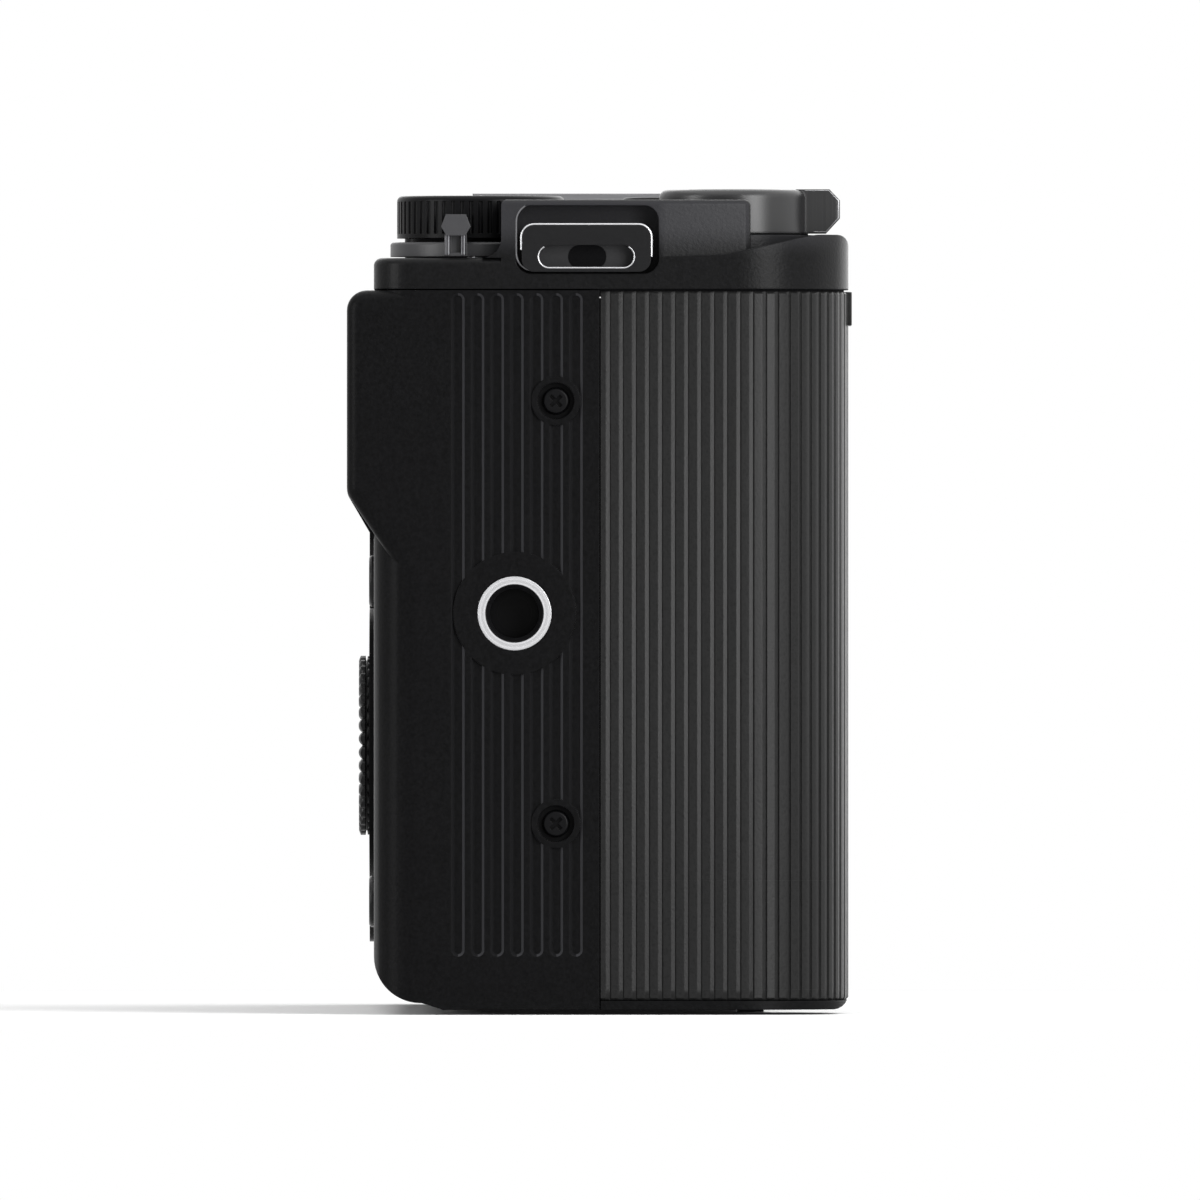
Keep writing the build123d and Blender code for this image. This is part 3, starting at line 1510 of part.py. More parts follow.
# Dials, levers and buttons of the top
dial_plane = top_at(dial_x, dial_y, dial_low_z)
dial_height = dial_high_z - dial_low_z
ledge_gap = dial_low_z - ledge_z - panel_gap
with BuildPart() as mode_dial:
    turned(
        dial_plane,
        (
            (shaft_radius + running_gap, -ledge_gap),
            (dial_hub_radius, -ledge_gap),
            (dial_hub_radius, 0),
            (dial_radius, 0),
            (dial_radius, dial_height),
            (0, dial_height),
            (0, dial_height - dial_cap),
            (shaft_radius + running_gap, dial_height - dial_cap),
        ),
        (0, 0, 0, 0, dial_edge, 0, 0, 0),
    )
    with BuildSketch(dial_plane.offset(dial_tooth_margin)) as dial_notches:
        with PolarLocations(dial_radius, dial_teeth):
            Circle(dial_tooth_radius)
    extrude(amount=dial_height - dial_tooth_margin - dial_edge, mode=Mode.SUBTRACT)
mode_dial.part.label = "mode_dial"

lever_plane = top_at(dial_x, dial_y, ledge_z + panel_gap)
lever_y = dial_y + lever_angle_y
tip_points = [
    (lever_y + side * width / 2, z)
    for side, rows in (
        (-1, (
            (lever_tip_foot_width, lever_tip_low_z),
            (lever_tip_width, lever_tip_waist_z),
            (lever_tip_top_width, lever_tip_high_z),
        )),
        (1, (
            (lever_tip_top_width, lever_tip_high_z),
            (lever_tip_width, lever_tip_waist_z),
            (lever_tip_foot_width, lever_tip_low_z),
        )),
    )
    for width, z in rows
]
with BuildPart() as power_lever:
    turned(
        lever_plane,
        (
            (dial_hub_radius + moving_gap, 0),
            (lever_radius, 0),
            (lever_radius, lever_thickness),
            (dial_hub_radius + moving_gap, lever_thickness),
        ),
        (0, 0, button_edge, 0),
    )
    block(
        (lever_stem_x, lever_y - lever_stem_width / 2, ledge_z + panel_gap),
        (dial_x - lever_radius + lever_stem_width, lever_y + lever_stem_width / 2,
         ledge_z + panel_gap + lever_thickness),
    )
    block(
        (lever_stem_x, lever_y - lever_stem_width / 2, ledge_z + panel_gap),
        (lever_root_x, lever_y + lever_stem_width / 2, (lever_tip_low_z + lever_tip_high_z) / 2),
    )
    block(
        (lever_stem_x - overrun, lever_y - lever_stem_groove / 2, ledge_z + panel_gap + lever_thickness / 4),
        (lever_stem_x + lever_stem_groove_depth, lever_y + lever_stem_groove / 2, lever_tip_low_z + seat_gap),
        mode=Mode.SUBTRACT,
    )
    prism(rounded_face(tip_points, (0,) * len(tip_points)), Plane.YZ, lever_tip_x, lever_root_x)
power_lever.part.label = "power_lever"

control_plane = top_at(control_x, control_y, control_low_z)
control_height = control_high_z - control_low_z
with BuildPart() as control_dial:
    turned(
        control_plane,
        (
            (shaft_radius + running_gap, 0),
            (control_radius, 0),
            (control_radius, control_height),
            (0, control_height),
            (0, control_height - dial_cap),
            (shaft_radius + running_gap, control_height - dial_cap),
        ),
        (0, 0, button_edge, 0, 0, 0),
    )
    with BuildSketch(control_plane) as control_notches:
        with PolarLocations(control_radius, control_teeth):
            Circle(dial_tooth_radius)
    extrude(amount=control_height - button_edge, mode=Mode.SUBTRACT)
control_dial.part.label = "control_dial"

with BuildPart() as dial_shafts:
    for x, y, ceiling, high in (
        (dial_x, dial_y, ledge_ceiling_z, dial_high_z),
        (control_x, control_y, raised_ceiling_z, control_high_z),
    ):
        head_top = ceiling - seat_gap
        drum(top_at(x, y, 0), shaft_head_radius, head_top - shaft_head, head_top)
        drum(top_at(x, y, 0), shaft_radius, head_top - shaft_head, high - dial_cap - shaft_top_gap)
dial_shafts.part.label = "dial_shafts"

zoom_plane = top_at(zoom_x, zoom_y, zoom_low_z)
zoom_height = highest_z - seat_gap - zoom_low_z
tab_view = rounded_face(
    (
        (tab_root_y, zoom_low_z),
        (tab_foot_y, zoom_low_z),
        (tab_front_y, tab_knee_z),
        (tab_front_y, tab_shoulder_z),
        (tab_top_y, highest_z),
        (tab_root_y, highest_z),
    ),
    (0, 0, 0, 0, 0, 0),
)
with BuildPart() as zoom_lever:
    prism(tab_view, Plane.YZ, zoom_x - tab_width / 2, zoom_x + tab_width / 2)
    fillet(zoom_lever.edges().filter_by(Axis.Z), button_edge)
    turned(
        zoom_plane,
        (
            (zoom_bore, 0),
            (zoom_radius, 0),
            (zoom_radius, zoom_height),
            (zoom_bore, zoom_height),
        ),
        (0, 0, zoom_edge, button_edge),
    )
zoom_lever.part.label = "zoom_lever"

shutter_plane = top_at(zoom_x, zoom_y, highest_z)
shutter_cap = highest_z - shutter_button_low_z
shutter_lip_top = ledge_ceiling_z - seat_gap - highest_z
with BuildPart() as shutter_button:
    turned(
        shutter_plane,
        (
            (0, -shutter_button_dish),
            (shutter_button_radius * dish_floor_share, -shutter_button_dish),
            (shutter_button_radius * dish_rim_share, 0),
            (shutter_button_radius, 0),
            (shutter_button_radius, -shutter_cap),
            (shaft_radius, -shutter_cap),
            (shaft_radius, shutter_lip_top),
            (shaft_radius + shutter_button_lip, shutter_lip_top),
            (shaft_radius + shutter_button_lip, shutter_lip_top - button_flange),
            (0, shutter_lip_top - button_flange),
        ),
        (0, 0, 0, button_edge, 0, 0, 0, 0, 0, 0),
    )
shutter_button.part.label = "shutter_button"

raised_skin = top_z - raised_ceiling_z
with BuildPart() as top_record_button:
    push_button(record_plane, record_radius, top_button_stand, raised_skin)
top_record_button.part.label = "top_record_button"

with BuildPart() as function_button:
    push_button(function_plane, function_radius, top_button_stand, raised_skin)
function_button.part.label = "function_button"

with BuildPart() as accessory_shoe:
    shoe_low_x = mount_x - shoe_half
    shoe_high_x = mount_x + shoe_half
    block((shoe_low_x, shoe_front_y, shoe_base_z), (shoe_high_x, shoe_rear_y, highest_z))
    block(
        (mount_x - shoe_channel_half, shoe_front_y + shoe_stop, shoe_base_z + shoe_base),
        (mount_x + shoe_channel_half, shoe_rear_y + overrun, highest_z - shoe_rail),
        mode=Mode.SUBTRACT,
    )
    block(
        (mount_x - shoe_opening_half, shoe_front_y + shoe_stop, shoe_base_z + shoe_base),
        (mount_x + shoe_opening_half, shoe_rear_y + overrun, highest_z + overrun),
        mode=Mode.SUBTRACT,
    )
accessory_shoe.part.label = "accessory_shoe"

with BuildPart() as microphone_grilles:
    for x in grille_xs:
        block(
            (x - grille_length / 2 + seat_gap, grille_y - grille_width / 2 + seat_gap,
             top_z - grille_thickness + seat_gap),
            (x + grille_length / 2 - seat_gap, grille_y + grille_width / 2 - seat_gap, top_z),
        )
        with BuildSketch(top_at(x, grille_y)) as grille_holes:
            with GridLocations(grille_hole_pitch, grille_hole_pitch, grille_columns, grille_rows):
                Circle(grille_hole_radius)
        extrude(amount=-grille_thickness, mode=Mode.SUBTRACT)
microphone_grilles.part.label = "microphone_grilles"


def strap_lug(plane, sign):
    """Strap lug in its side pocket: a slotted plate on two feet."""
    with BuildSketch(plane.offset(lug_stand - lug_thickness)) as lug_face:
        rectangle(
            min(-sign * lug_low_y, -sign * lug_high_y),
            max(-sign * lug_low_y, -sign * lug_high_y),
            lug_low_z,
            lug_high_z,
        )
        fillet(lug_face.vertices(), lug_corner)
        with Locations((-sign * (lug_low_y + lug_high_y) / 2, lug_slot_z)):
            SlotOverall(lug_slot_length, lug_slot_height, mode=Mode.SUBTRACT)
    extrude(lug_face.sketch, amount=lug_thickness)
    foot_low = -pocket_depth + seat_gap
    for edge_y, inward in ((lug_low_y, 1), (lug_high_y, -1)):
        near = -sign * edge_y
        far = -sign * (edge_y + inward * lug_foot)
        with BuildSketch(plane.offset(foot_low)) as lug_foot_face:
            rectangle(min(near, far), max(near, far), lug_low_z + lug_corner, lug_high_z - lug_corner)
        extrude(lug_foot_face.sketch, amount=lug_stand - lug_thickness - foot_low)


with BuildPart() as grip_strap_lug:
    strap_lug(grip_side_at(0, 0), 1)
grip_strap_lug.part.label = "grip_strap_lug"

with BuildPart() as side_strap_lug:
    strap_lug(port_side_at(0, 0), -1)
side_strap_lug.part.label = "side_strap_lug"

# Buttons and lamp of the front
with BuildPart() as front_record_button:
    push_button(front_record_plane, front_record_radius, front_record_stand, wall)
front_record_button.part.label = "front_record_button"

with BuildPart() as lens_release_button:
    push_button(release_plane, release_radius, release_stand, wall)
lens_release_button.part.label = "lens_release_button"

with BuildPart() as lens_lock_pin:
    drum(lock_pin_plane, lock_pin_radius, lock_pin_stand - lock_pin_length, lock_pin_stand)
lens_lock_pin.part.label = "lens_lock_pin"

with BuildPart() as tally_lamp:
    turned(
        tally_plane,
        (
            (0, tally_stand),
            (tally_radius, tally_stand),
            (tally_radius, -wall - seat_gap),
            (tally_radius + button_flange, -wall - seat_gap),
            (tally_radius + button_flange, -wall - button_flange),
            (0, -wall - button_flange),
        ),
        (0, tally_stand / 2, 0, 0, 0, 0),
    )
tally_lamp.part.label = "tally_lamp"

# Controls of the rear
wheel_hub_end = -wall - seat_gap - button_flange
with BuildPart() as rear_wheel:
    turned(
        wheel_plane,
        (
            (wheel_bore, wheel_hub_end),
            (wheel_hub_radius + button_lip, wheel_hub_end),
            (wheel_hub_radius + button_lip, -wall - seat_gap),
            (wheel_hub_radius, -wall - seat_gap),
            (wheel_hub_radius, -wheel_sink),
            (wheel_radius, -wheel_sink),
            (wheel_radius, wheel_rim),
            (wheel_bore, wheel_rim),
        ),
        (0, 0, 0, 0, 0, 0, button_edge, button_edge),
    )
    with BuildSketch(wheel_plane.offset(button_edge / 2)) as wheel_knurl:
        with PolarLocations(wheel_radius, wheel_bumps):
            Circle(wheel_bump_radius)
    extrude(amount=wheel_stand - button_edge / 2)
rear_wheel.part.label = "rear_wheel"

with BuildPart() as set_button:
    turned(
        wheel_plane,
        (
            (0, set_stand),
            (set_radius, set_stand),
            (set_radius, wheel_hub_end),
            (0, wheel_hub_end),
        ),
        (0, button_edge, 0, 0),
    )
set_button.part.label = "set_button"

with BuildPart() as menu_button:
    push_button(menu_plane, rear_button_radius, rear_button_stand, wall)
menu_button.part.label = "menu_button"

with BuildPart() as info_button:
    push_button(info_plane, rear_button_radius, rear_button_stand, wall)
info_button.part.label = "info_button"

with BuildPart() as playback_button:
    push_button(playback_plane, rear_button_radius, rear_button_stand, wall)
playback_button.part.label = "playback_button"

with BuildPart() as delete_button:
    push_button(delete_plane, rear_button_radius, rear_button_stand, wall)
delete_button.part.label = "delete_button"

with BuildPart() as rear_board:
    block(
        (rear_board_left_x, rear_board_y, rear_board_low_z),
        (rear_board_right_x, rear_board_y + rear_board_thickness, rear_board_high_z),
    )
rear_board.part.label = "rear_board"

# Monitor, its hinge and the pins
notch_low = (notch_left_x, monitor_inner_y - overrun, notch_low_z)
notch_high = (monitor_right_x + overrun, monitor_face_y + overrun, notch_high_z)
panel_front_y = monitor_face_y - monitor_glass_thickness - seat_gap
with BuildPart() as monitor_shell:
    with BuildSketch(Plane.XZ.offset(-monitor_face_y + monitor_glass_thickness)) as shell_face:
        rectangle(monitor_left_x, monitor_right_x, monitor_low_z, monitor_high_z)
        fillet(shell_face.vertices(), monitor_corner)
    extrude(amount=panel_front_y + seat_gap - monitor_inner_y)
    fillet(
        monitor_shell.faces().sort_by(Axis.Y)[0].edges().filter_by(
            lambda edge: edge.center().X < monitor_right_x - monitor_corner
        ),
        button_edge,
    )
    block(notch_low, notch_high, mode=Mode.SUBTRACT)
    block(
        (monitor_left_x + monitor_bezel, panel_front_y - monitor_panel_thickness - seat_gap,
         monitor_low_z + monitor_bezel),
        (monitor_panel_right_x + seat_gap, monitor_face_y, monitor_high_z - monitor_bezel),
        mode=Mode.SUBTRACT,
    )
    drum(port_side_at(swing_y, tilt_z, hinge_arm_left_x), tilt_radius + running_gap,
         -tilt_length - seat_gap, overrun, mode=Mode.SUBTRACT)
monitor_shell.part.label = "monitor_shell"

with BuildPart() as monitor_panel:
    block(
        (monitor_left_x + monitor_bezel + seat_gap, panel_front_y - monitor_panel_thickness,
         monitor_low_z + monitor_bezel + seat_gap),
        (monitor_panel_right_x, panel_front_y, monitor_high_z - monitor_bezel - seat_gap),
    )
monitor_panel.part.label = "monitor_panel"

with BuildPart() as monitor_glass:
    with BuildSketch(Plane.XZ.offset(-monitor_face_y)) as glass_face:
        rectangle(
            monitor_left_x + monitor_glass_inset,
            monitor_right_x - monitor_glass_inset,
            monitor_low_z + monitor_glass_inset,
            monitor_high_z - monitor_glass_inset,
        )
        fillet(glass_face.vertices(), monitor_corner - monitor_glass_inset)
    extrude(amount=monitor_glass_thickness - seat_gap)
    block(notch_low, notch_high, mode=Mode.SUBTRACT)
monitor_glass.part.label = "monitor_glass"

swing_plane = top_at(swing_x, swing_y, 0)
with BuildPart() as monitor_hinge_block:
    drum(swing_plane, hinge_barrel_radius, hinge_low_z, hinge_high_z)
    block(
        (hinge_arm_left_x, swing_y - hinge_arm_half, hinge_low_z),
        (swing_x, swing_y + hinge_arm_half, hinge_high_z),
    )
    drum(port_side_at(swing_y, tilt_z, hinge_arm_left_x), tilt_radius, -tilt_length, tilt_radius)
    drum(swing_plane, hinge_pin_radius + running_gap, hinge_low_z - overrun, hinge_high_z + overrun,
         mode=Mode.SUBTRACT)
monitor_hinge_block.part.label = "monitor_hinge_block"

ear_low_z = hinge_low_z - hinge_ear_gap - hinge_ear_height
ear_high_z = hinge_high_z + hinge_ear_gap
plate_back_y = pocket_floor_y + seat_gap
with BuildPart() as hinge_bracket:
    block(
        (hinge_plate_left_x, plate_back_y, ear_low_z - hinge_plate_margin / 2),
        (hinge_plate_right_x, plate_back_y + hinge_plate_thickness,
         ear_high_z + hinge_ear_height + hinge_plate_margin / 2),
    )
    for z in (ear_low_z, ear_high_z):
        drum(swing_plane, hinge_ear_radius, z, z + hinge_ear_height)
        block(
            (swing_x - hinge_ear_radius, plate_back_y, z),
            (swing_x + hinge_ear_radius, swing_y, z + hinge_ear_height),
        )
    drum(swing_plane, hinge_pin_radius + seat_gap, 0, top_z, mode=Mode.SUBTRACT)
hinge_bracket.part.label = "hinge_bracket"

with BuildPart() as hinge_pins:
    drum(swing_plane, hinge_pin_radius, ear_low_z, ear_high_z + hinge_ear_height)
    drum(hinge_plane, door_pin_radius, door_pin_y - door_pin_length / 2, door_pin_y + door_pin_length / 2)
hinge_pins.part.label = "hinge_pins"


# Port covers and the module that carries the sockets
def port_cover(low_z, high_z):
    """Cover of a group of ports, with a round hinge edge towards the front."""
    inner_x = half_width - port_cover_thickness
    edge = (port_cover_thickness - seat_gap) / 2
    section = (
        (inner_x, port_cover_low_y),
        (half_width, port_cover_low_y),
        (half_width, port_cover_high_y),
        (inner_x, port_cover_high_y),
    )
    prism(rounded_face(section, (edge, edge, 0, 0)), Plane.XY, low_z, high_z)
    outline = (
        (port_cover_low_y, low_z),
        (port_cover_high_y, low_z),
        (port_cover_high_y, high_z),
        (port_cover_low_y, high_z),
    )
    corners = (0, port_cover_corner, port_cover_corner, 0)
    prism(rounded_face(outline, corners), port_side_at(0, 0), -overrun, overrun, mode=Mode.INTERSECT)


with BuildPart() as audio_cover:
    port_cover(audio_low_z, audio_high_z)
audio_cover.part.label = "audio_cover"

with BuildPart() as digital_cover:
    port_cover(digital_low_z, digital_high_z)
digital_cover.part.label = "digital_cover"

port_face_x = port_floor_x - seat_gap
port_board_x = half_width - port_depth
with BuildPart() as port_sockets:
    block(
        (port_board_x - port_board_thickness, port_y - port_board_half, digital_low_z + port_cover_corner),
        (port_board_x, port_y + port_board_half, audio_high_z - port_cover_corner),
    )
    for z in jack_zs:
        jack_plane = port_side_at(port_y, z, port_face_x)
        drum(jack_plane, jack_radius, port_board_x - port_face_x - seat_gap, 0)
        drum(jack_plane, jack_bore, -jack_depth, overrun, mode=Mode.SUBTRACT)
    for z, length, width in ((usb_z, usb_length, usb_width), (video_z, video_length, video_width)):
        block(
            (port_board_x - seat_gap, port_y - width / 2 - port_shell, z - length / 2 - port_shell),
            (port_face_x, port_y + width / 2 + port_shell, z + length / 2 + port_shell),
        )
        block(
            (port_face_x - jack_depth, port_y - width / 2, z - length / 2),
            (port_face_x + overrun, port_y + width / 2, z + length / 2),
            mode=Mode.SUBTRACT,
        )
port_sockets.part.label = "port_sockets"

os.makedirs("parts", exist_ok=True)
export_step(front_cover.part, "parts/front_cover.step")
export_step(rear_cover.part, "parts/rear_cover.step")
export_step(top_cover.part, "parts/top_cover.step")
export_step(bottom_plate.part, "parts/bottom_plate.step")
export_step(grip_rubber.part, "parts/grip_rubber.step")
export_step(chassis.part, "parts/chassis.step")
export_step(mount_ring.part, "parts/mount_ring.step")
export_step(mount_screws.part, "parts/mount_screws.step")
export_step(mount_baffle.part, "parts/mount_baffle.step")
export_step(contact_block.part, "parts/contact_block.step")
export_step(contact_pins.part, "parts/contact_pins.step")
export_step(sensor_unit.part, "parts/sensor_unit.step")
export_step(sensor_glass.part, "parts/sensor_glass.step")
export_step(shutter_frame.part, "parts/shutter_frame.step")
export_step(shutter_curtain.part, "parts/shutter_curtain.step")
export_step(main_board.part, "parts/main_board.step")
export_step(battery_bay.part, "parts/battery_bay.step")
export_step(battery.part, "parts/battery.step")
export_step(battery_lock.part, "parts/battery_lock.step")
export_step(card_slot.part, "parts/card_slot.step")
export_step(memory_card.part, "parts/memory_card.step")
export_step(base_tripod_socket.part, "parts/base_tripod_socket.step")
export_step(side_tripod_socket.part, "parts/side_tripod_socket.step")
export_step(cover_screws.part, "parts/cover_screws.step")
export_step(accessory_shoe.part, "parts/accessory_shoe.step")
export_step(grip_strap_lug.part, "parts/grip_strap_lug.step")
export_step(side_strap_lug.part, "parts/side_strap_lug.step")
export_step(microphone_grilles.part, "parts/microphone_grilles.step")
export_step(tally_lamp.part, "parts/tally_lamp.step")
export_step(rear_foot.part, "parts/rear_foot.step")
export_step(port_sockets.part, "parts/port_sockets.step")
export_step(hinge_bracket.part, "parts/hinge_bracket.step")
export_step(hinge_pins.part, "parts/hinge_pins.step")
export_step(dial_shafts.part, "parts/dial_shafts.step")
export_step(rear_board.part, "parts/rear_board.step")
export_step(mode_dial.part, "parts/mode_dial.step")
export_step(power_lever.part, "parts/power_lever.step")
export_step(control_dial.part, "parts/control_dial.step")
export_step(zoom_lever.part, "parts/zoom_lever.step")
export_step(shutter_button.part, "parts/shutter_button.step")
export_step(top_record_button.part, "parts/top_record_button.step")
export_step(function_button.part, "parts/function_button.step")
export_step(front_record_button.part, "parts/front_record_button.step")
export_step(lens_release_button.part, "parts/lens_release_button.step")
export_step(lens_lock_pin.part, "parts/lens_lock_pin.step")
export_step(rear_wheel.part, "parts/rear_wheel.step")
export_step(set_button.part, "parts/set_button.step")
export_step(menu_button.part, "parts/menu_button.step")
export_step(info_button.part, "parts/info_button.step")
export_step(playback_button.part, "parts/playback_button.step")
export_step(delete_button.part, "parts/delete_button.step")
export_step(monitor_shell.part, "parts/monitor_shell.step")
export_step(monitor_panel.part, "parts/monitor_panel.step")
export_step(monitor_glass.part, "parts/monitor_glass.step")
export_step(monitor_hinge_block.part, "parts/monitor_hinge_block.step")
export_step(battery_door.part, "parts/battery_door.step")
export_step(battery_door_latch.part, "parts/battery_door_latch.step")
export_step(audio_cover.part, "parts/audio_cover.step")
export_step(digital_cover.part, "parts/digital_cover.step")
export_step(cable_flap.part, "parts/cable_flap.step")
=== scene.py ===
"""Looks of a compact mirrorless camera body, built around its CAD frame.

The camera faces -Y, its grip is on the -X side and +Z is up. Sizes are in millimetres in the
classes and are turned to metres where meshes are made.
"""
from __future__ import annotations

import json
import logging
import math
from dataclasses import dataclass, replace
from enum import Enum
from typing import Any, Callable, Sequence

import bmesh
import bpy
from mathutils import Matrix, Vector

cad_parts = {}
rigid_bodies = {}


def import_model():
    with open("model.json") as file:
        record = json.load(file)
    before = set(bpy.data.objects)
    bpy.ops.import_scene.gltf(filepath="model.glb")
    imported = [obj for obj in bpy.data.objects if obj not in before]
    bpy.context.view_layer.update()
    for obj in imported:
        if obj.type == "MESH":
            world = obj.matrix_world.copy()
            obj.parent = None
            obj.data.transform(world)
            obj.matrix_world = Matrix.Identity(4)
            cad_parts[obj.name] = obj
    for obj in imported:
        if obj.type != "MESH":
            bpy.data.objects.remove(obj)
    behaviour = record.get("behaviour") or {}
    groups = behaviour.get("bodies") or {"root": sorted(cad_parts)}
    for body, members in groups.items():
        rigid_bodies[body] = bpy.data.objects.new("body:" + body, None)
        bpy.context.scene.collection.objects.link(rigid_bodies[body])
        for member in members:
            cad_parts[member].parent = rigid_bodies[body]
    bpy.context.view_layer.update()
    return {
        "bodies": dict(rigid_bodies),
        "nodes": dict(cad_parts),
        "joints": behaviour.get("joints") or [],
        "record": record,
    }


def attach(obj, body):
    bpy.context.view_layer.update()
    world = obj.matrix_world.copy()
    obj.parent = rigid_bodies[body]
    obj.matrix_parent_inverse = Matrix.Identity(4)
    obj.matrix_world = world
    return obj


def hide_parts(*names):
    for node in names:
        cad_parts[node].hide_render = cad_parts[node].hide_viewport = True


log = logging.getLogger("camera_looks")

MM = 0.001
WHITE = (1.0, 1.0, 1.0, 1.0)
BRUSH_RUN = 40.0  # a brush mark is this many times longer than wide
GRAIN_DETAIL = 2.0
GRAIN_ROUGHNESS = 0.55
GLOSS_SPREAD = 0.15  # share by which roughness varies with the grain
BEVEL_SAMPLES = 4
WELD_M = 1e-6
CREASE_DEG = 30.0
SAME_MM = 1e-4
WIRE_SIDES = 8

Mesh = bmesh.types.BMesh
Node = bpy.types.Node
Object = bpy.types.Object
Socket = bpy.types.NodeSocket
Tree = bpy.types.NodeTree
Frame = dict[str, Any]
Point = tuple[float, float]
Spot = tuple[float, float, float]


def linear(code: str) -> tuple[float, float, float, float]:
    """Turn an sRGB hex colour into linear light.

    Args:
        code: Colour as "#rrggbb".

    Returns:
        Red, green, blue and alpha, with alpha at 1.
    """
    parts = [int(code[i:i + 2], 16) / 255.0 for i in (1, 3, 5)]
    light = [c / 12.92 if c <= 0.04045 else ((c + 0.055) / 1.055) ** 2.4 for c in parts]
    return (light[0], light[1], light[2], 1.0)


def add_node(tree: Tree, kind: str, inputs: dict[str | int, Any] | None = None,
             **settings: Any) -> Node:
    """Add a node with its settings and links.

    Args:
        tree: Node tree that takes the node.
        kind: Blender's type name of the node.
        inputs: Socket name or number, with a value or the output socket that feeds it.
        **settings: Properties of the node itself.

    Returns:
        The new node.
    """
    node = tree.nodes.new(kind)
    for key, value in settings.items():
        setattr(node, key, value)
    for key, value in (inputs or {}).items():
        if isinstance(value, Socket):
            tree.links.new(value, node.inputs[key])
        else:
            node.inputs[key].default_value = value
    return node


class Grain(Enum):
    """How a surface's fine relief was made."""

    SPARK = "spark-eroded mould grain"
    LEATHERED = "soft moulded rubber grain"
    TURNED = "lathe rings about an axis"
    BRUSHED = "straight brushing"
    CAST = "blasted casting"
    POLISHED = "polished, with faint haze"


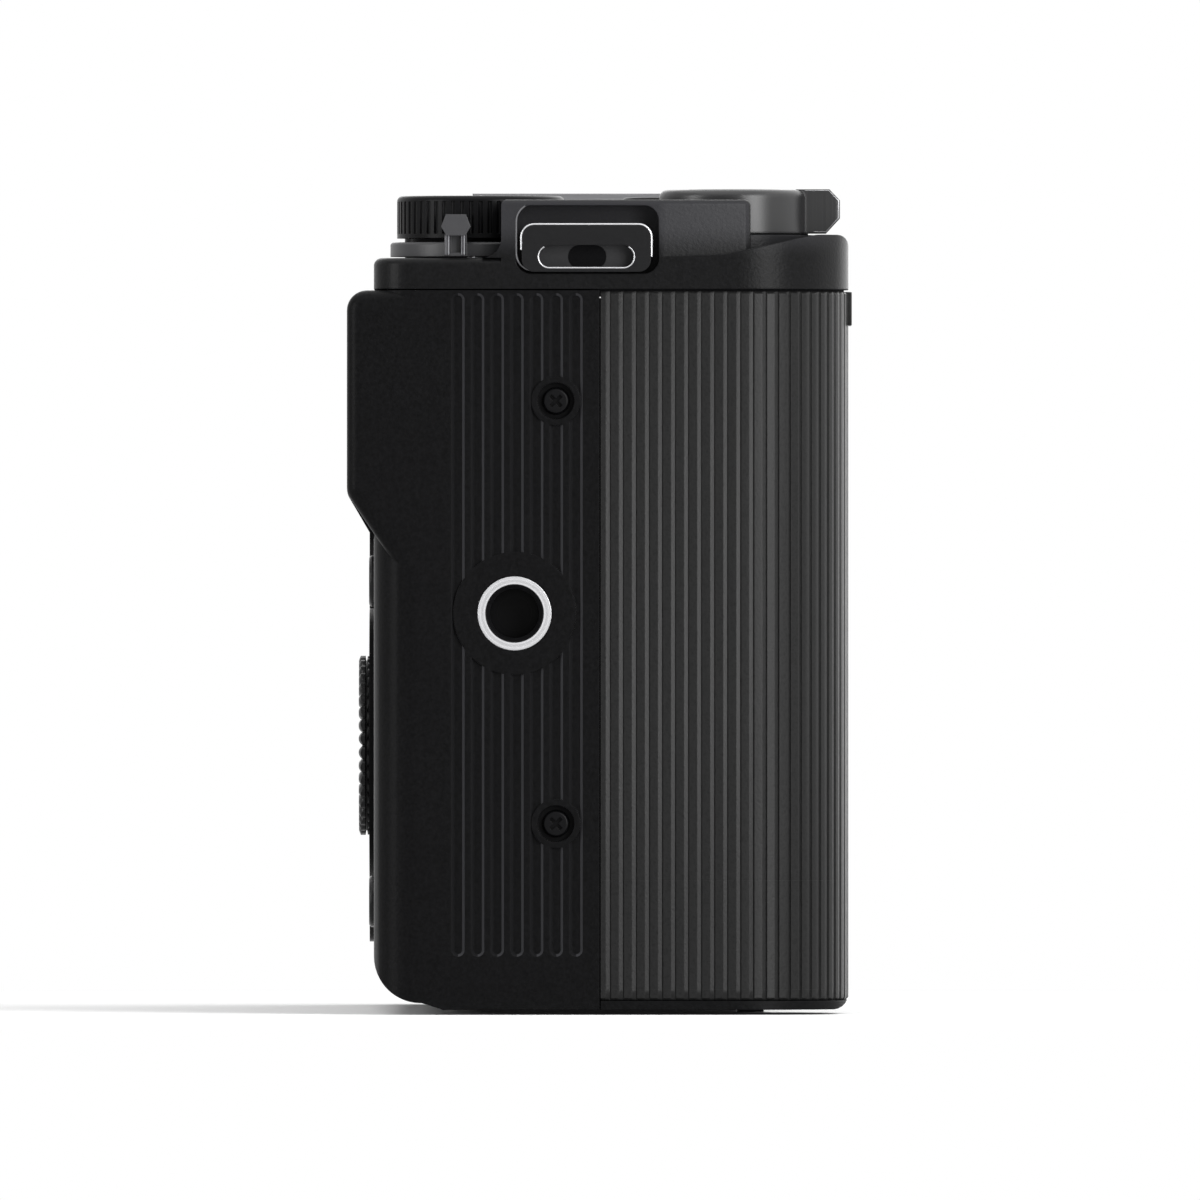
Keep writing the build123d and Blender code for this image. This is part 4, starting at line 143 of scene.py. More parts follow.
@dataclass(frozen=True)
class Finish:
    """One real material and how its surface was made."""

    name: str
    colour: str
    slot: str
    shade: str
    grain: Grain
    grain_mm: float
    relief_mm: float
    roughness: float
    metallic: float = 0.0
    specular: float = 0.5
    coat: float = 0.0
    coat_roughness: float = 0.08
    axis: Spot = (0.0, 0.0, 0.0)
    direction: Spot = (0.0, 0.0, 1.0)
    edge_mm: float = 0.1

    def off_axis(self, tree: Tree) -> Socket:
        """Measure how far a point of the surface is from the finish's axis.

        Args:
            tree: Node tree of the material.

        Returns:
            Socket that gives the distance, in metres.
        """
        place = add_node(tree, "ShaderNodeTexCoord").outputs["Object"]
        centre = tuple(c * MM for c in self.axis)
        keep = tuple(1.0 - abs(d) for d in self.direction)
        from_axis = add_node(tree, "ShaderNodeVectorMath", {0: place, 1: centre},
                             operation="SUBTRACT").outputs[0]
        flat = add_node(tree, "ShaderNodeVectorMath", {0: from_axis, 1: keep},
                        operation="MULTIPLY").outputs[0]
        return add_node(tree, "ShaderNodeVectorMath", {0: flat},
                        operation="LENGTH").outputs["Value"]

    def pattern(self, tree: Tree) -> Socket:
        """Build the height pattern of the grain.

        Args:
            tree: Node tree of the material.

        Returns:
            Socket that gives the height, 0 to 1.
        """
        per_metre = 1.0 / (self.grain_mm * MM)
        if self.grain is Grain.TURNED:
            reach = add_node(tree, "ShaderNodeMath", {0: self.off_axis(tree), 1: per_metre},
                             operation="MULTIPLY").outputs[0]
            return add_node(tree, "ShaderNodeTexNoise",
                            {"W": reach, "Scale": 1.0, "Detail": GRAIN_DETAIL},
                            noise_dimensions="1D").outputs["Fac"]
        place = add_node(tree, "ShaderNodeTexCoord").outputs["Object"]
        if self.grain is Grain.BRUSHED:
            scale = tuple(per_metre / BRUSH_RUN if abs(d) > 0.5 else per_metre
                          for d in self.direction)
            place = add_node(tree, "ShaderNodeVectorMath", {0: place, 1: scale},
                             operation="MULTIPLY").outputs[0]
            per_metre = 1.0
        noise = add_node(tree, "ShaderNodeTexNoise",
                         {"Vector": place, "Scale": per_metre, "Detail": GRAIN_DETAIL,
                          "Roughness": GRAIN_ROUGHNESS}).outputs["Fac"]
        if self.grain is not Grain.LEATHERED:
            return noise
        cells = add_node(tree, "ShaderNodeTexVoronoi", {"Vector": place, "Scale": per_metre},
                         feature="SMOOTH_F1").outputs["Distance"]
        return add_node(tree, "ShaderNodeMath", {0: noise, 1: cells}, operation="ADD").outputs[0]

    def overlay(self, tree: Tree) -> tuple[Socket | None, Any]:
        """Say where another colour lies, and which: none here."""
        return None, None

    def adjust(self, tree: Tree, shader: Node, share: Socket | None) -> None:
        """Change what else only some finishes have: nothing here."""

    def make(self) -> bpy.types.Material:
        """Make the Blender material, or return the one made before.

        Returns:
            The material with its node tree.
        """
        done = bpy.data.materials.get(self.name)
        if done is not None:
            return done
        material = bpy.data.materials.new(self.name)
        material.use_nodes = True
        tree = material.node_tree
        tree.nodes.clear()
        height = self.pattern(tree)
        bump = add_node(tree, "ShaderNodeBump",
                        {"Height": height, "Distance": self.relief_mm * MM, "Strength": 1.0})
        if self.edge_mm:
            soft = add_node(tree, "ShaderNodeBevel", {"Radius": self.edge_mm * MM},
                            samples=BEVEL_SAMPLES)
            tree.links.new(soft.outputs[0], bump.inputs["Normal"])
        tint = add_node(tree, "ShaderNodeMix",
                        {"Factor": height, "A": linear(self.shade), "B": linear(self.colour)},
                        data_type="RGBA").outputs[2]
        share, other = self.overlay(tree)
        if share is not None:
            tint = add_node(tree, "ShaderNodeMix", {"Factor": share, "A": tint, "B": other},
                            data_type="RGBA").outputs[2]
        gloss = add_node(tree, "ShaderNodeMapRange",
                         {"Value": height, "To Min": self.roughness * (1.0 - GLOSS_SPREAD),
                          "To Max": min(1.0, self.roughness * (1.0 + GLOSS_SPREAD))})
        shader = add_node(tree, "ShaderNodeBsdfPrincipled",
                          {"Base Color": tint, "Roughness": gloss.outputs[0],
                           "Metallic": self.metallic, "Specular IOR Level": self.specular,
                           "Coat Weight": self.coat, "Coat Roughness": self.coat_roughness,
                           "Normal": bump.outputs[0]})
        self.adjust(tree, shader, share)
        add_node(tree, "ShaderNodeOutputMaterial", {"Surface": shader.outputs[0]})
        return material


@dataclass(frozen=True)
class DottedFinish(Finish):
    """A finish with a round dot of another colour about its axis: printed on a button, painted
    shade over a bore.
    """

    dot: str = "#7a0f0f"
    dot_radius_mm: float = 1.0
    dot_specular: float = 0.05

    def overlay(self, tree: Tree) -> tuple[Socket | None, Any]:
        """Lay the dot's colour within its radius.

        Args:
            tree: Node tree of the material.

        Returns:
            Socket that is 1 in the dot, and the dot's colour.
        """
        inside = add_node(tree, "ShaderNodeMath",
                          {0: self.off_axis(tree), 1: self.dot_radius_mm * MM},
                          operation="LESS_THAN").outputs[0]
        return inside, linear(self.dot)

    def adjust(self, tree: Tree, shader: Node, share: Socket | None) -> None:
        """Make the dot less glossy than its surround, and no metal.

        Args:
            tree: Node tree of the material.
            shader: Main shader of the material.
            share: Socket that is 1 in the dot.
        """
        for name, around, in_dot in (("Metallic", self.metallic, 0.0),
                                     ("Specular IOR Level", self.specular, self.dot_specular)):
            if around != in_dot:
                level = add_node(tree, "ShaderNodeMapRange",
                                 {"Value": share, "To Min": around, "To Max": in_dot})
                tree.links.new(level.outputs[0], shader.inputs[name])


@dataclass(frozen=True)
class BoardFinish(Finish):
    """A printed board: solder mask over copper runs."""

    copper: str = "#2f7a4a"
    runs_per_metre: float = 420.0  # a run every 2.4 mm
    run_width: float = 0.32

    def overlay(self, tree: Tree) -> tuple[Socket | None, Any]:
        """Lay lighter runs of covered copper over the bare mask.

        Args:
            tree: Node tree of the material.

        Returns:
            Socket that is 1 on a run, and the colour of the covered copper.
        """
        place = add_node(tree, "ShaderNodeTexCoord").outputs["Object"]
        runs = add_node(tree, "ShaderNodeTexVoronoi",
                        {"Vector": place, "Scale": self.runs_per_metre},
                        feature="F1", distance="CHEBYCHEV")
        inside = add_node(tree, "ShaderNodeMath",
                          {0: runs.outputs["Distance"], 1: self.run_width},
                          operation="LESS_THAN").outputs[0]
        return inside, linear(self.copper)


@dataclass(frozen=True)
class ClearFinish(Finish):
    """Coated optical glass."""

    clear: float = 0.85
    ior: float = 1.52

    def adjust(self, tree: Tree, shader: Node, share: Socket | None) -> None:
        """Let most light through."""
        shader.inputs["Transmission Weight"].default_value = self.clear
        shader.inputs["IOR"].default_value = self.ior


@dataclass(frozen=True)
class PaintedHighlightFinish(Finish):
    """Black paint with a painted highlight: paler on the upper part of its grip-end wall, as if
    lit from above.
    """

    # Colour of the painted highlight at the wall's upper edge
    painted_highlight_colour: str = "#262628"
    fade_z_mm: Point = (67.4, 70.6)
    fade_x_mm: Point = (-56.0, -44.0)
    facing_x: Point = (-0.35, -0.75)

    def overlay(self, tree: Tree) -> tuple[Socket | None, Any]:
        """Paint a highlight on the upright faces of the grip end, paler towards their upper
        edge.

        Args:
            tree: Node tree of the material.

        Returns:
            Socket that gives the share of the painted highlight, and its colour.
        """
        spot = add_node(tree, "ShaderNodeTexCoord").outputs
        axes = add_node(tree, "ShaderNodeSeparateXYZ", {0: spot["Object"]}).outputs
        facing = add_node(tree, "ShaderNodeSeparateXYZ", {0: spot["Normal"]}).outputs["X"]
        share = add_node(tree, "ShaderNodeMapRange",
                         {"Value": axes["Z"], "From Min": self.fade_z_mm[0] * MM,
                          "From Max": self.fade_z_mm[1] * MM},
                         interpolation_type="SMOOTHSTEP").outputs[0]
        near = add_node(tree, "ShaderNodeMapRange",
                        {"Value": axes["X"], "From Min": self.fade_x_mm[0] * MM,
                         "From Max": self.fade_x_mm[1] * MM, "To Min": 1.0, "To Max": 0.0})
        end = add_node(tree, "ShaderNodeMapRange",
                       {"Value": facing, "From Min": self.facing_x[0],
                        "From Max": self.facing_x[1]})
        for part in (near, end):
            share = add_node(tree, "ShaderNodeMath", {0: share, 1: part.outputs[0]},
                             operation="MULTIPLY").outputs[0]
        # Painted highlight: the paler colour stands in for overhead light on the wall
        return share, linear(self.painted_highlight_colour)


@dataclass(frozen=True)
class GroovedFinish(Finish):
    """Moulded black with painted highlights on the sloping flanks of its side grooves."""

    flank_x_mm: Point = (-59.185, -58.93)
    last_y_mm: float = 15.6
    facing_x: Point = (-0.9, -0.3)
    # Painted highlight colours of the rear-facing and front-facing flanks
    rear_flank_highlight: str = "#2e2e30"
    front_flank_highlight: str = "#141415"

    def overlay(self, tree: Tree) -> tuple[Socket | None, Any]:
        """Paint highlights on the sloping flanks of the side grooves, brighter on the
        rear-facing ones.

        Args:
            tree: Node tree of the material.

        Returns:
            Socket that is 1 on a flank, and the socket with the flank's painted highlight
            colour.
        """
        spot = add_node(tree, "ShaderNodeTexCoord").outputs
        place = add_node(tree, "ShaderNodeSeparateXYZ", {0: spot["Object"]}).outputs
        facing = add_node(tree, "ShaderNodeSeparateXYZ", {0: spot["Normal"]}).outputs
        tests = ((place["X"], self.flank_x_mm[0] * MM, "GREATER_THAN"),
                 (place["X"], self.flank_x_mm[1] * MM, "LESS_THAN"),
                 (place["Y"], self.last_y_mm * MM, "LESS_THAN"),
                 (facing["X"], self.facing_x[0], "GREATER_THAN"),
                 (facing["X"], self.facing_x[1], "LESS_THAN"))
        share: Any = 1.0
        for value, limit, test in tests:
            passed = add_node(tree, "ShaderNodeMath", {0: value, 1: limit}, operation=test)
            share = add_node(tree, "ShaderNodeMath", {0: share, 1: passed.outputs[0]},
                             operation="MULTIPLY").outputs[0]
        rear = add_node(tree, "ShaderNodeMath", {0: facing["Y"], 1: 0.0},
                        operation="GREATER_THAN").outputs[0]
        flank = add_node(tree, "ShaderNodeMix",
                         {"Factor": rear, "A": linear(self.front_flank_highlight),
                          "B": linear(self.rear_flank_highlight)}, data_type="RGBA").outputs[2]
        # Painted highlight: the lighter flanks stand in for light caught in the grooves
        return share, flank


# Lathe rings, brush marks and mould grain are really finer than 0.1 mm. They are drawn at
# 0.12 to 0.3 mm, because a pixel of the picture is 0.09 mm and would hide them.

# Black polycarbonate with a spark-eroded grain: nearly matt, with tiny soft glints
COVER = Finish("polycarbonate_black", "#111112", "cover_plastic", "#030303", Grain.SPARK,
               0.28, 0.02, 0.36, specular=0.038, edge_mm=0.16)
# The front and rear covers: the same plastic, with painted highlights on the flanks of its
# grooves
GROOVED = GroovedFinish("polycarbonate_grooved", "#111112", "cover_plastic", "#030303",
                        Grain.SPARK, 0.28, 0.02, 0.36, specular=0.038, edge_mm=0.16)
# The top cover's paint: the same black, a touch smoother, with a painted highlight on the upper
# part of its end wall
TOP_PAINT = PaintedHighlightFinish("painted_top_black", "#121213", "cover_plastic", "#030303", Grain.SPARK,
                        0.28, 0.02, 0.34, specular=0.07, edge_mm=0.16)
# Moulded elastomer: softer and a little greyer than the covers
GRIP = Finish("elastomer_charcoal", "#171717", "grip_rubber", "#060606", Grain.LEATHERED,
              0.24, 0.007, 0.3, specular=0.12, edge_mm=0.08)
# Black anodised aluminium, turned: dark with fine circular sheen
DIAL = Finish("anodised_dial_black", "#0d0d0e", "dial_metal", "#080809", Grain.TURNED,
              0.25, 0.004, 0.32, specular=0.06, axis=(-47.5, 10.65, 70.0))
# The control dial: the same metal, with its rings about its own axis
CONTROL = replace(DIAL, name="anodised_control_black", axis=(-29.0, 9.2, 70.0))
# The zoom ring and shutter button: paler and glossier, so that their rims catch light
ZOOM = Finish("anodised_zoom_black", "#161617", "dial_metal", "#111112", Grain.TURNED,
              0.25, 0.004, 0.34, specular=0.36, axis=(-47.0, -12.1, 70.0), edge_mm=0.25)
# A painted highlight: a bright metal wire along the zoom tab's edge, where its bevel would catch
# the light
TAB_HIGHLIGHT = Finish("tab_edge_painted_highlight", "#a6a6a8", "dial_metal", "#8e8e90", Grain.POLISHED,
                  0.3, 0.001, 0.3, metallic=0.8)
# The lever's knob is blasted, so it is a flat grey beside the glossier dial
LEVER = Finish("anodised_lever_grey", "#2b2b2d", "dial_metal", "#252527", Grain.CAST,
               0.12, 0.004, 0.4, specular=0.34)
# Acetal of the rear wheel: black and waxy, with a soft shine on each bump
WHEEL = Finish("acetal_wheel_black", "#0f0f10", "dial_metal", "#0a0a0b", Grain.TURNED,
               0.25, 0.004, 0.28, specular=0.2, axis=(-38.5, 20.0, 23.85),
               direction=(0.0, 1.0, 0.0))
# Microphone grilles: dark brushed metal that barely shines
GRILLE = Finish("anodised_grille_black", "#101011", "dial_metal", "#0a0a0b", Grain.BRUSHED,
                0.12, 0.004, 0.4, metallic=0.3, specular=0.1, direction=(1.0, 0.0, 0.0))
# Satin ABS of the buttons: smoother than the covers, so it shows a soft highlight
BUTTON = Finish("abs_satin_black", "#161617", "button_plastic", "#121213", Grain.SPARK,
                0.16, 0.004, 0.28, specular=0.15, edge_mm=0.2)
# Satin record button, with a red dot printed in its middle
TOP_RECORD = DottedFinish("abs_record_top", "#121213", "record_red", "#0f0f10", Grain.SPARK,
                          0.16, 0.004, 0.32, specular=0.08, axis=(-30.5, -5.5, 72.0),
                          dot="#9c1414", dot_radius_mm=1.15)
# The same on the front, with its dot facing forward
FRONT_RECORD = replace(TOP_RECORD, name="abs_record_front", axis=(50.2, -15.0, 10.5),
                       direction=(0.0, 1.0, 0.0), dot_radius_mm=1.1)
# Stainless mount ring, faced on a lathe: bright rings of sheen
MOUNT = Finish("stainless_faced", "#a9a9ac", "mount_steel", "#8f8f92", Grain.TURNED,
               0.14, 0.003, 0.24, metallic=1.0, axis=(8.5, -17.6, 33.4),
               direction=(0.0, 1.0, 0.0))
# Ring of the side thread: bright face, with a dark disc of painted shade over the bore
SIDE_THREAD = DottedFinish("stainless_side_thread", "#c4c4c6", "mount_steel", "#a4a4a6",
                           Grain.TURNED, 0.2, 0.004, 0.26, metallic=0.7,
                           axis=(-59.2, 7.6, 35.7), direction=(1.0, 0.0, 0.0),
                           dot="#0e0e0f", dot_radius_mm=2.62)
# The same in the base, a little duller, with the same painted shade over its bore
BASE_THREAD = replace(SIDE_THREAD, name="stainless_base_thread", colour="#bababc",
                      shade="#a0a0a2", axis=(8.5, 0.0, 0.0), direction=(0.0, 0.0, 1.0))
# Matt black inside the mount, so that it swallows light
BAFFLE = Finish("polyamide_matt_black", "#0b0b0c", "inner_black", "#080809", Grain.SPARK,
                0.3, 0.02, 0.85, specular=0.05)
# Magnesium as cast: pale grey with a coarse, sandy skin
CHASSIS = Finish("magnesium_cast", "#86868a", "chassis_alloy", "#707074", Grain.CAST,
                 0.5, 0.03, 0.5, metallic=0.9)
# Blackened screws: dark steel that still glints on its edges
SCREW = Finish("steel_blackened", "#0c0c0d", "screw_black", "#070708", Grain.POLISHED,
               0.3, 0.003, 0.3, specular=0.07)
# Cut thread, painted dark for the shade inside the bore, so only its crests catch light
BORE = Finish("bore_thread_painted_shade", "#141415", "screw_black", "#0b0b0c", Grain.POLISHED,
              0.3, 0.003, 0.3, specular=0.12, edge_mm=0.08)
# Gold plate on the contacts: warm and clean, with hardly any relief
GOLD = Finish("contacts_gold_plated", "#d9a94f", "contact_gold", "#c59642", Grain.POLISHED,
              0.2, 0.001, 0.22, metallic=1.0)
# Black ceramic of the sensor: satin, with a faint red band down its middle
SENSOR = DottedFinish("sensor_ceramic_black", "#1d1d20", "sensor_ceramic", "#151518",
                      Grain.SPARK, 0.2, 0.004, 0.35, specular=0.2, axis=(8.5, 2.4, 33.4))
# Coated glass over the sensor: clear, with a cool green cast
FILTER = ClearFinish("filter_glass_coated", "#cfe9e4", "filter_glass", "#bfe0dd",
                     Grain.POLISHED, 2.0, 0.0, 0.04, edge_mm=0.0)
# Green solder mask, with paler runs of copper under it
BOARD = BoardFinish("board_solder_mask", "#15583a", "board_green", "#104a30", Grain.SPARK,
                    0.3, 0.01, 0.35)
# Black solder mask on the board beside the sensor, so nothing shines through the mount
REAR_BOARD = replace(BOARD, name="board_black_mask", colour="#0c100e", shade="#090c0a",
                     specular=0.1, copper="#121613")
# Plastic sleeve of the battery: dark grey and evenly satin
BATTERY = Finish("battery_sleeve_grey", "#2b2b2e", "battery_case", "#252528", Grain.SPARK,
                 0.25, 0.006, 0.4)
# Moulded case of the card: deep blue, smoother than the covers
CARD = Finish("card_polycarbonate_blue", "#15203a", "card_plastic", "#101a30", Grain.SPARK,
              0.25, 0.006, 0.38)
# Stainless sheet of the shoe, brushed along its length, bright where the edge is polished
SHOE = Finish("stainless_brushed", "#8c8c8e", "shoe_steel", "#757577", Grain.BRUSHED,
              0.12, 0.002, 0.34, metallic=0.9, direction=(0.0, 1.0, 0.0))
# Black plated steel: nearly black, with a small soft shine
LUG = Finish("steel_black_plated", "#111112", "lug_steel", "#0c0c0d", Grain.POLISHED,
             0.3, 0.002, 0.3, specular=0.14)
# Painted highlights: bright steel wires on the lug's rim and round the slot's ends, where its
# edges would catch the light
LUG_HIGHLIGHT = Finish("lug_rim_painted_highlight", "#b9b9bb", "lug_steel", "#a2a2a4", Grain.POLISHED,
                 0.4, 0.001, 0.24, metallic=0.8)
# The lug's anchor is bead-blasted steel, seen through the slot as a flat grey
ANCHOR = Finish("steel_blasted_grey", "#2e2e2f", "lug_steel", "#272728", Grain.CAST,
                0.2, 0.004, 0.6, specular=0.08)
# Red lens of the tally lamp: dark, under a glossy coat
LAMP = Finish("lamp_lens_red", "#3a0808", "lamp_plastic", "#2a0505", Grain.POLISHED,
              0.5, 0.0, 0.08, coat=0.6)
# Cover glass of the monitor: deep black with a clear reflection
SCREEN = Finish("glass_over_black", "#050506", "screen_glass", "#040405", Grain.POLISHED,
                6.0, 0.0, 0.05, specular=0.16, edge_mm=0.0)
# Bare aluminium sheet: pale grey with straight brush marks
PANEL = Finish("aluminium_sheet", "#9a9a9d", "panel_metal", "#88888b", Grain.BRUSHED,
               0.2, 0.003, 0.4, metallic=1.0, direction=(1.0, 0.0, 0.0))
# Bright spring steel: pale, with a clean shine
SPRING = Finish("steel_bright", "#b0b0b2", "spring_steel", "#98989a", Grain.POLISHED,
                0.3, 0.002, 0.28, metallic=1.0)
# A painted highlight: a grey wire along the lug pocket's rim, where its edge would catch the
# light
POCKET_HIGHLIGHT = Finish("pocket_edge_painted_highlight", "#5c5c5e", "cover_plastic", "#464648", Grain.SPARK,
              0.3, 0.004, 0.4, specular=0.2, edge_mm=0.0)
# Shutter blades are blackened, with a faint brushed sheen
BLADE = Finish("steel_blade_black", "#1b1b1d", "spring_steel", "#151517", Grain.BRUSHED,
               0.12, 0.002, 0.4, specular=0.2, direction=(1.0, 0.0, 0.0))
# Ground pins of the lever: satin steel, darker than the springs
PIN = Finish("steel_satin", "#4a4a4c", "spring_steel", "#3c3c3e", Grain.POLISHED,
             0.3, 0.002, 0.3, metallic=0.9)
# Filled engraving: enamel, a little proud and satin
MARK = Finish("enamel_white", "#d6d6d4", "shoe_steel", "#cccccb", Grain.POLISHED,
              0.4, 0.001, 0.35, specular=0.2)


class Work:
    """Shared ways of dressing a CAD node or making a mesh piece."""

    def __init__(self, frame: Frame) -> None:
        self.nodes = frame["nodes"]

    def dress(self, node: str, finish: Finish) -> None:
        """Give a CAD node its finish, with smooth curves and crisp edges.

        Args:
            node: Name of the CAD node.
            finish: Its finish.
        """
        piece = self.nodes[node]
        piece.data.materials.clear()
        piece.data.materials.append(finish.make())
        piece.data.shade_smooth()
        weld = piece.modifiers.new("weld", "WELD")
        weld.merge_threshold = WELD_M
        crisp = piece.modifiers.new("crisp", "EDGE_SPLIT")
        crisp.split_angle = math.radians(CREASE_DEG)
        crisp.use_edge_sharp = False
        log.info("dressed %s in %s", node, finish.name)

    def piece(self, name: str, mesh: Mesh, finish: Finish, body: str = "camera_body",
              smooth_deg: float = 35.0) -> Object:
        """Turn a bmesh in millimetres into a piece that rides on a body.

        Args:
            name: Name of the piece.
            mesh: Its mesh, in millimetres. It is freed here.
            finish: Its finish.
            body: CAD body that it moves with.
            smooth_deg: Edges flatter than this shade smooth.

        Returns:
            The new object.
        """
        bmesh.ops.remove_doubles(mesh, verts=mesh.verts, dist=SAME_MM)
        bmesh.ops.recalc_face_normals(mesh, faces=mesh.faces)
        bmesh.ops.scale(mesh, vec=(MM, MM, MM), verts=mesh.verts)
        limit = math.radians(smooth_deg)
        for face in mesh.faces:
            face.smooth = True
        for edge in mesh.edges:
            if len(edge.link_faces) == 2:
                edge.smooth = edge.calc_face_angle(0.0) < limit
        data = bpy.data.meshes.new(name)
        mesh.to_mesh(data)
        mesh.free()
        data.materials.append(finish.make())
        made = bpy.data.objects.new(name, data)
        bpy.context.scene.collection.objects.link(made)
        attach(made, body)
        log.info("built %s on %s", name, body)
        return made


def loft(mesh: Mesh, rings: Sequence[Sequence[Vector]]) -> None:
    """Join closed rings of equal length with faces, each to the next, and fill both ends.

    Args:
        mesh: Mesh that takes the faces.
        rings: Rings of points in order.
    """
    made = [[mesh.verts.new(p) for p in ring] for ring in rings]
    count = len(made[0])
    for low, high in zip(made, made[1:]):
        for i in range(count):
            j = (i + 1) % count
            mesh.faces.new((low[i], low[j], high[j], high[i]))
    mesh.faces.new(list(reversed(made[0])))
    mesh.faces.new(made[-1])


def turned(mesh: Mesh, profile: Sequence[Point], frame: Matrix, steps: int,
           shape: Callable[[float, float, float], Point] | None = None) -> None:
    """Turn a closed profile of radius and height about a frame's Z axis.

    Args:
        mesh: Mesh that takes the faces.
        profile: Closed outline as (radius, height) in millimetres, clear of the axis.
        frame: Place of the axis.
        steps: Divisions round the axis.
        shape: Optional change of radius and height by radius, height and angle.
    """
    rings = []
    for k in range(steps):
        angle = 2.0 * math.pi * k / steps
        ring = []
        for radius, height in profile:
            r, h = shape(radius, height, angle) if shape else (radius, height)
            ring.append(frame @ Vector((r * math.cos(angle), r * math.sin(angle), h)))
        rings.append([mesh.verts.new(p) for p in ring])
    count = len(profile)
    for here, there in zip(rings, rings[1:] + rings[:1]):
        for i in range(count):
            j = (i + 1) % count
            mesh.faces.new((here[i], there[i], there[j], here[j]))


def wire(mesh: Mesh, x: float, path: Sequence[Point], radius: float) -> None:
    """Sweep a round wire along a path that lies square to X.

    Args:
        mesh: Mesh that takes the faces.
        x: Where the path's plane lies.
        path: Points of the path as (y, z), in millimetres.
        radius: Radius of the wire.
    """
    across = Vector((1.0, 0.0, 0.0))
    turns = [2.0 * math.pi * n / WIRE_SIDES for n in range(WIRE_SIDES)]
    points = [Vector((x, y, z)) for y, z in path]
    rings = []
    for before, point, after in zip(points[:1] + points, points, points[1:] + points[-1:]):
        side = (after - before).normalized().cross(across)
        rings.append([point + (side * math.cos(a) + across * math.sin(a)) * radius
                      for a in turns])
    loft(mesh, rings)


def arc(centre: Point, radius: float, start: float, end: float, steps: int) -> list[Point]:
    """Points of an arc in a plane; one that stops a step short of 360 degrees is a disc.

    Args:
        centre: Middle of the arc.
        radius: Its radius.
        start: First angle, in degrees.
        end: Last angle, in degrees.
        steps: Steps between them.

    Returns:
        The points, both ends included.
    """
    turns = [math.radians(start + (end - start) * n / steps) for n in range(steps + 1)]
    return [(centre[0] + radius * math.cos(a), centre[1] + radius * math.sin(a)) for a in turns]


def round_box(centre: Point, size: Point, corner: float, steps: int = 8) -> list[Point]:
    """Outline of a rectangle with round corners.

    Args:
        centre: Its middle.
        size: Its width and height.
        corner: Radius of its corners.
        steps: Steps in each corner.

    Returns:
        Its points, anticlockwise.
    """
    half_x, half_y = size[0] / 2.0 - corner, size[1] / 2.0 - corner
    points: list[Point] = []
    for n, (sx, sy) in enumerate(((1, 1), (-1, 1), (-1, -1), (1, -1))):
        middle = (centre[0] + sx * half_x, centre[1] + sy * half_y)
        points += arc(middle, corner, 90.0 * n, 90.0 * (n + 1), steps)
    return points


def drawn_in(outline: Sequence[Point], by: float) -> list[Point]:
    """Draw an outline in towards its middle.

    Args:
        outline: Its points.
        by: How far each point moves.

    Returns:
        The moved points.
    """
    middle = [sum(p[k] for p in outline) / len(outline) for k in (0, 1)]
    result = []
    for u, v in outline:
        reach = math.hypot(u - middle[0], v - middle[1])
        share = max(0.0, 1.0 - by / reach) if reach else 0.0
        result.append((middle[0] + (u - middle[0]) * share, middle[1] + (v - middle[1]) * share))
    return result


def upright(u: float, v: float, h: float) -> Vector:
    """Put plan coordinates and a height into space."""
    return Vector((u, v, h))


def slab(mesh: Mesh, outline: Sequence[Point], low: float, high: float, edge: float = 0.0,
         place: Callable[[float, float, float], Vector] = upright) -> None:
    """Raise an outline between two heights, with its upper edge broken.

    Args:
        mesh: Mesh that takes the faces.
        outline: Points in the outline's plane.
        low: Lower height.
        high: Upper height.
        edge: Size of the broken edge.
        place: Turns plane coordinates and a height into a point in space.
    """
    levels = [(outline, low), (outline, high - edge)]
    if edge:
        levels.append((drawn_in(outline, edge), high))
    loft(mesh, [[place(u, v, h) for u, v in points] for points, h in levels])


@dataclass
class SubAssembly:
    """Part of the camera: CAD nodes that get a finish, and pieces made as meshes."""

    work: Work

    def finishes(self) -> dict[str, Finish]:
        """Name the finish of each CAD node: none here."""
        return {}

    def trim(self) -> None:
        """Add the mesh pieces: none here."""

    def build(self) -> None:
        """Dress the CAD nodes, then add the mesh pieces."""
        log.info("sub-assembly %s", type(self).__name__)
        for node, finish in self.finishes().items():
            self.work.dress(node, finish)
        self.trim()


@dataclass
class Covers(SubAssembly):
    """Front, rear and top covers, the bottom plate, the grip's gasket and the dial's index."""

    index: Point = (-36.6, 10.65)
    index_size: Point = (1.6, 0.35)
    index_corner: float = 0.1
    index_stand: float = 0.02
    top_z: float = 72.7
    gasket_low: float = 64.3
    gasket_high: float = 64.9
    gasket_inset: float = 0.4
    gasket_rear: float = 0.8
    gasket_end: float = -34.0
    gasket_width: float = 2.2
    half_width: float = 59.2
    front_y: float = -22.3
    corner: float = 10.0

    def finishes(self) -> dict[str, Finish]:
        """Name the finish of each CAD node."""
        return {"front_cover": GROOVED, "rear_cover": GROOVED, "bottom_plate": COVER,
                "top_cover": TOP_PAINT, "cover_screws": SCREW}

    def trim(self) -> None:
        """Lay the dark gasket in the seam over the grip and mark the mode dial's index."""
        outer = self.corner - self.gasket_inset
        inner = outer - self.gasket_width
        middle = (-self.half_width + self.corner, self.front_y + self.corner)
        outline = [(middle[0] - outer, self.gasket_rear)]
        outline += arc(middle, outer, 180.0, 270.0, steps=16)
        outline += [(self.gasket_end, middle[1] - outer), (self.gasket_end, middle[1] - inner)]
        outline += arc(middle, inner, 270.0, 180.0, steps=16)
        outline += [(middle[0] - inner, self.gasket_rear)]
        mesh = bmesh.new()
        slab(mesh, outline, self.gasket_low, self.gasket_high)
        self.work.piece("grip_gasket", mesh, BAFFLE)
        mesh = bmesh.new()
        slab(mesh, round_box(self.index, self.index_size, self.index_corner, steps=3),
             self.top_z - self.index_stand, self.top_z + self.index_stand)
        self.work.piece("dial_index_mark", mesh, MARK)


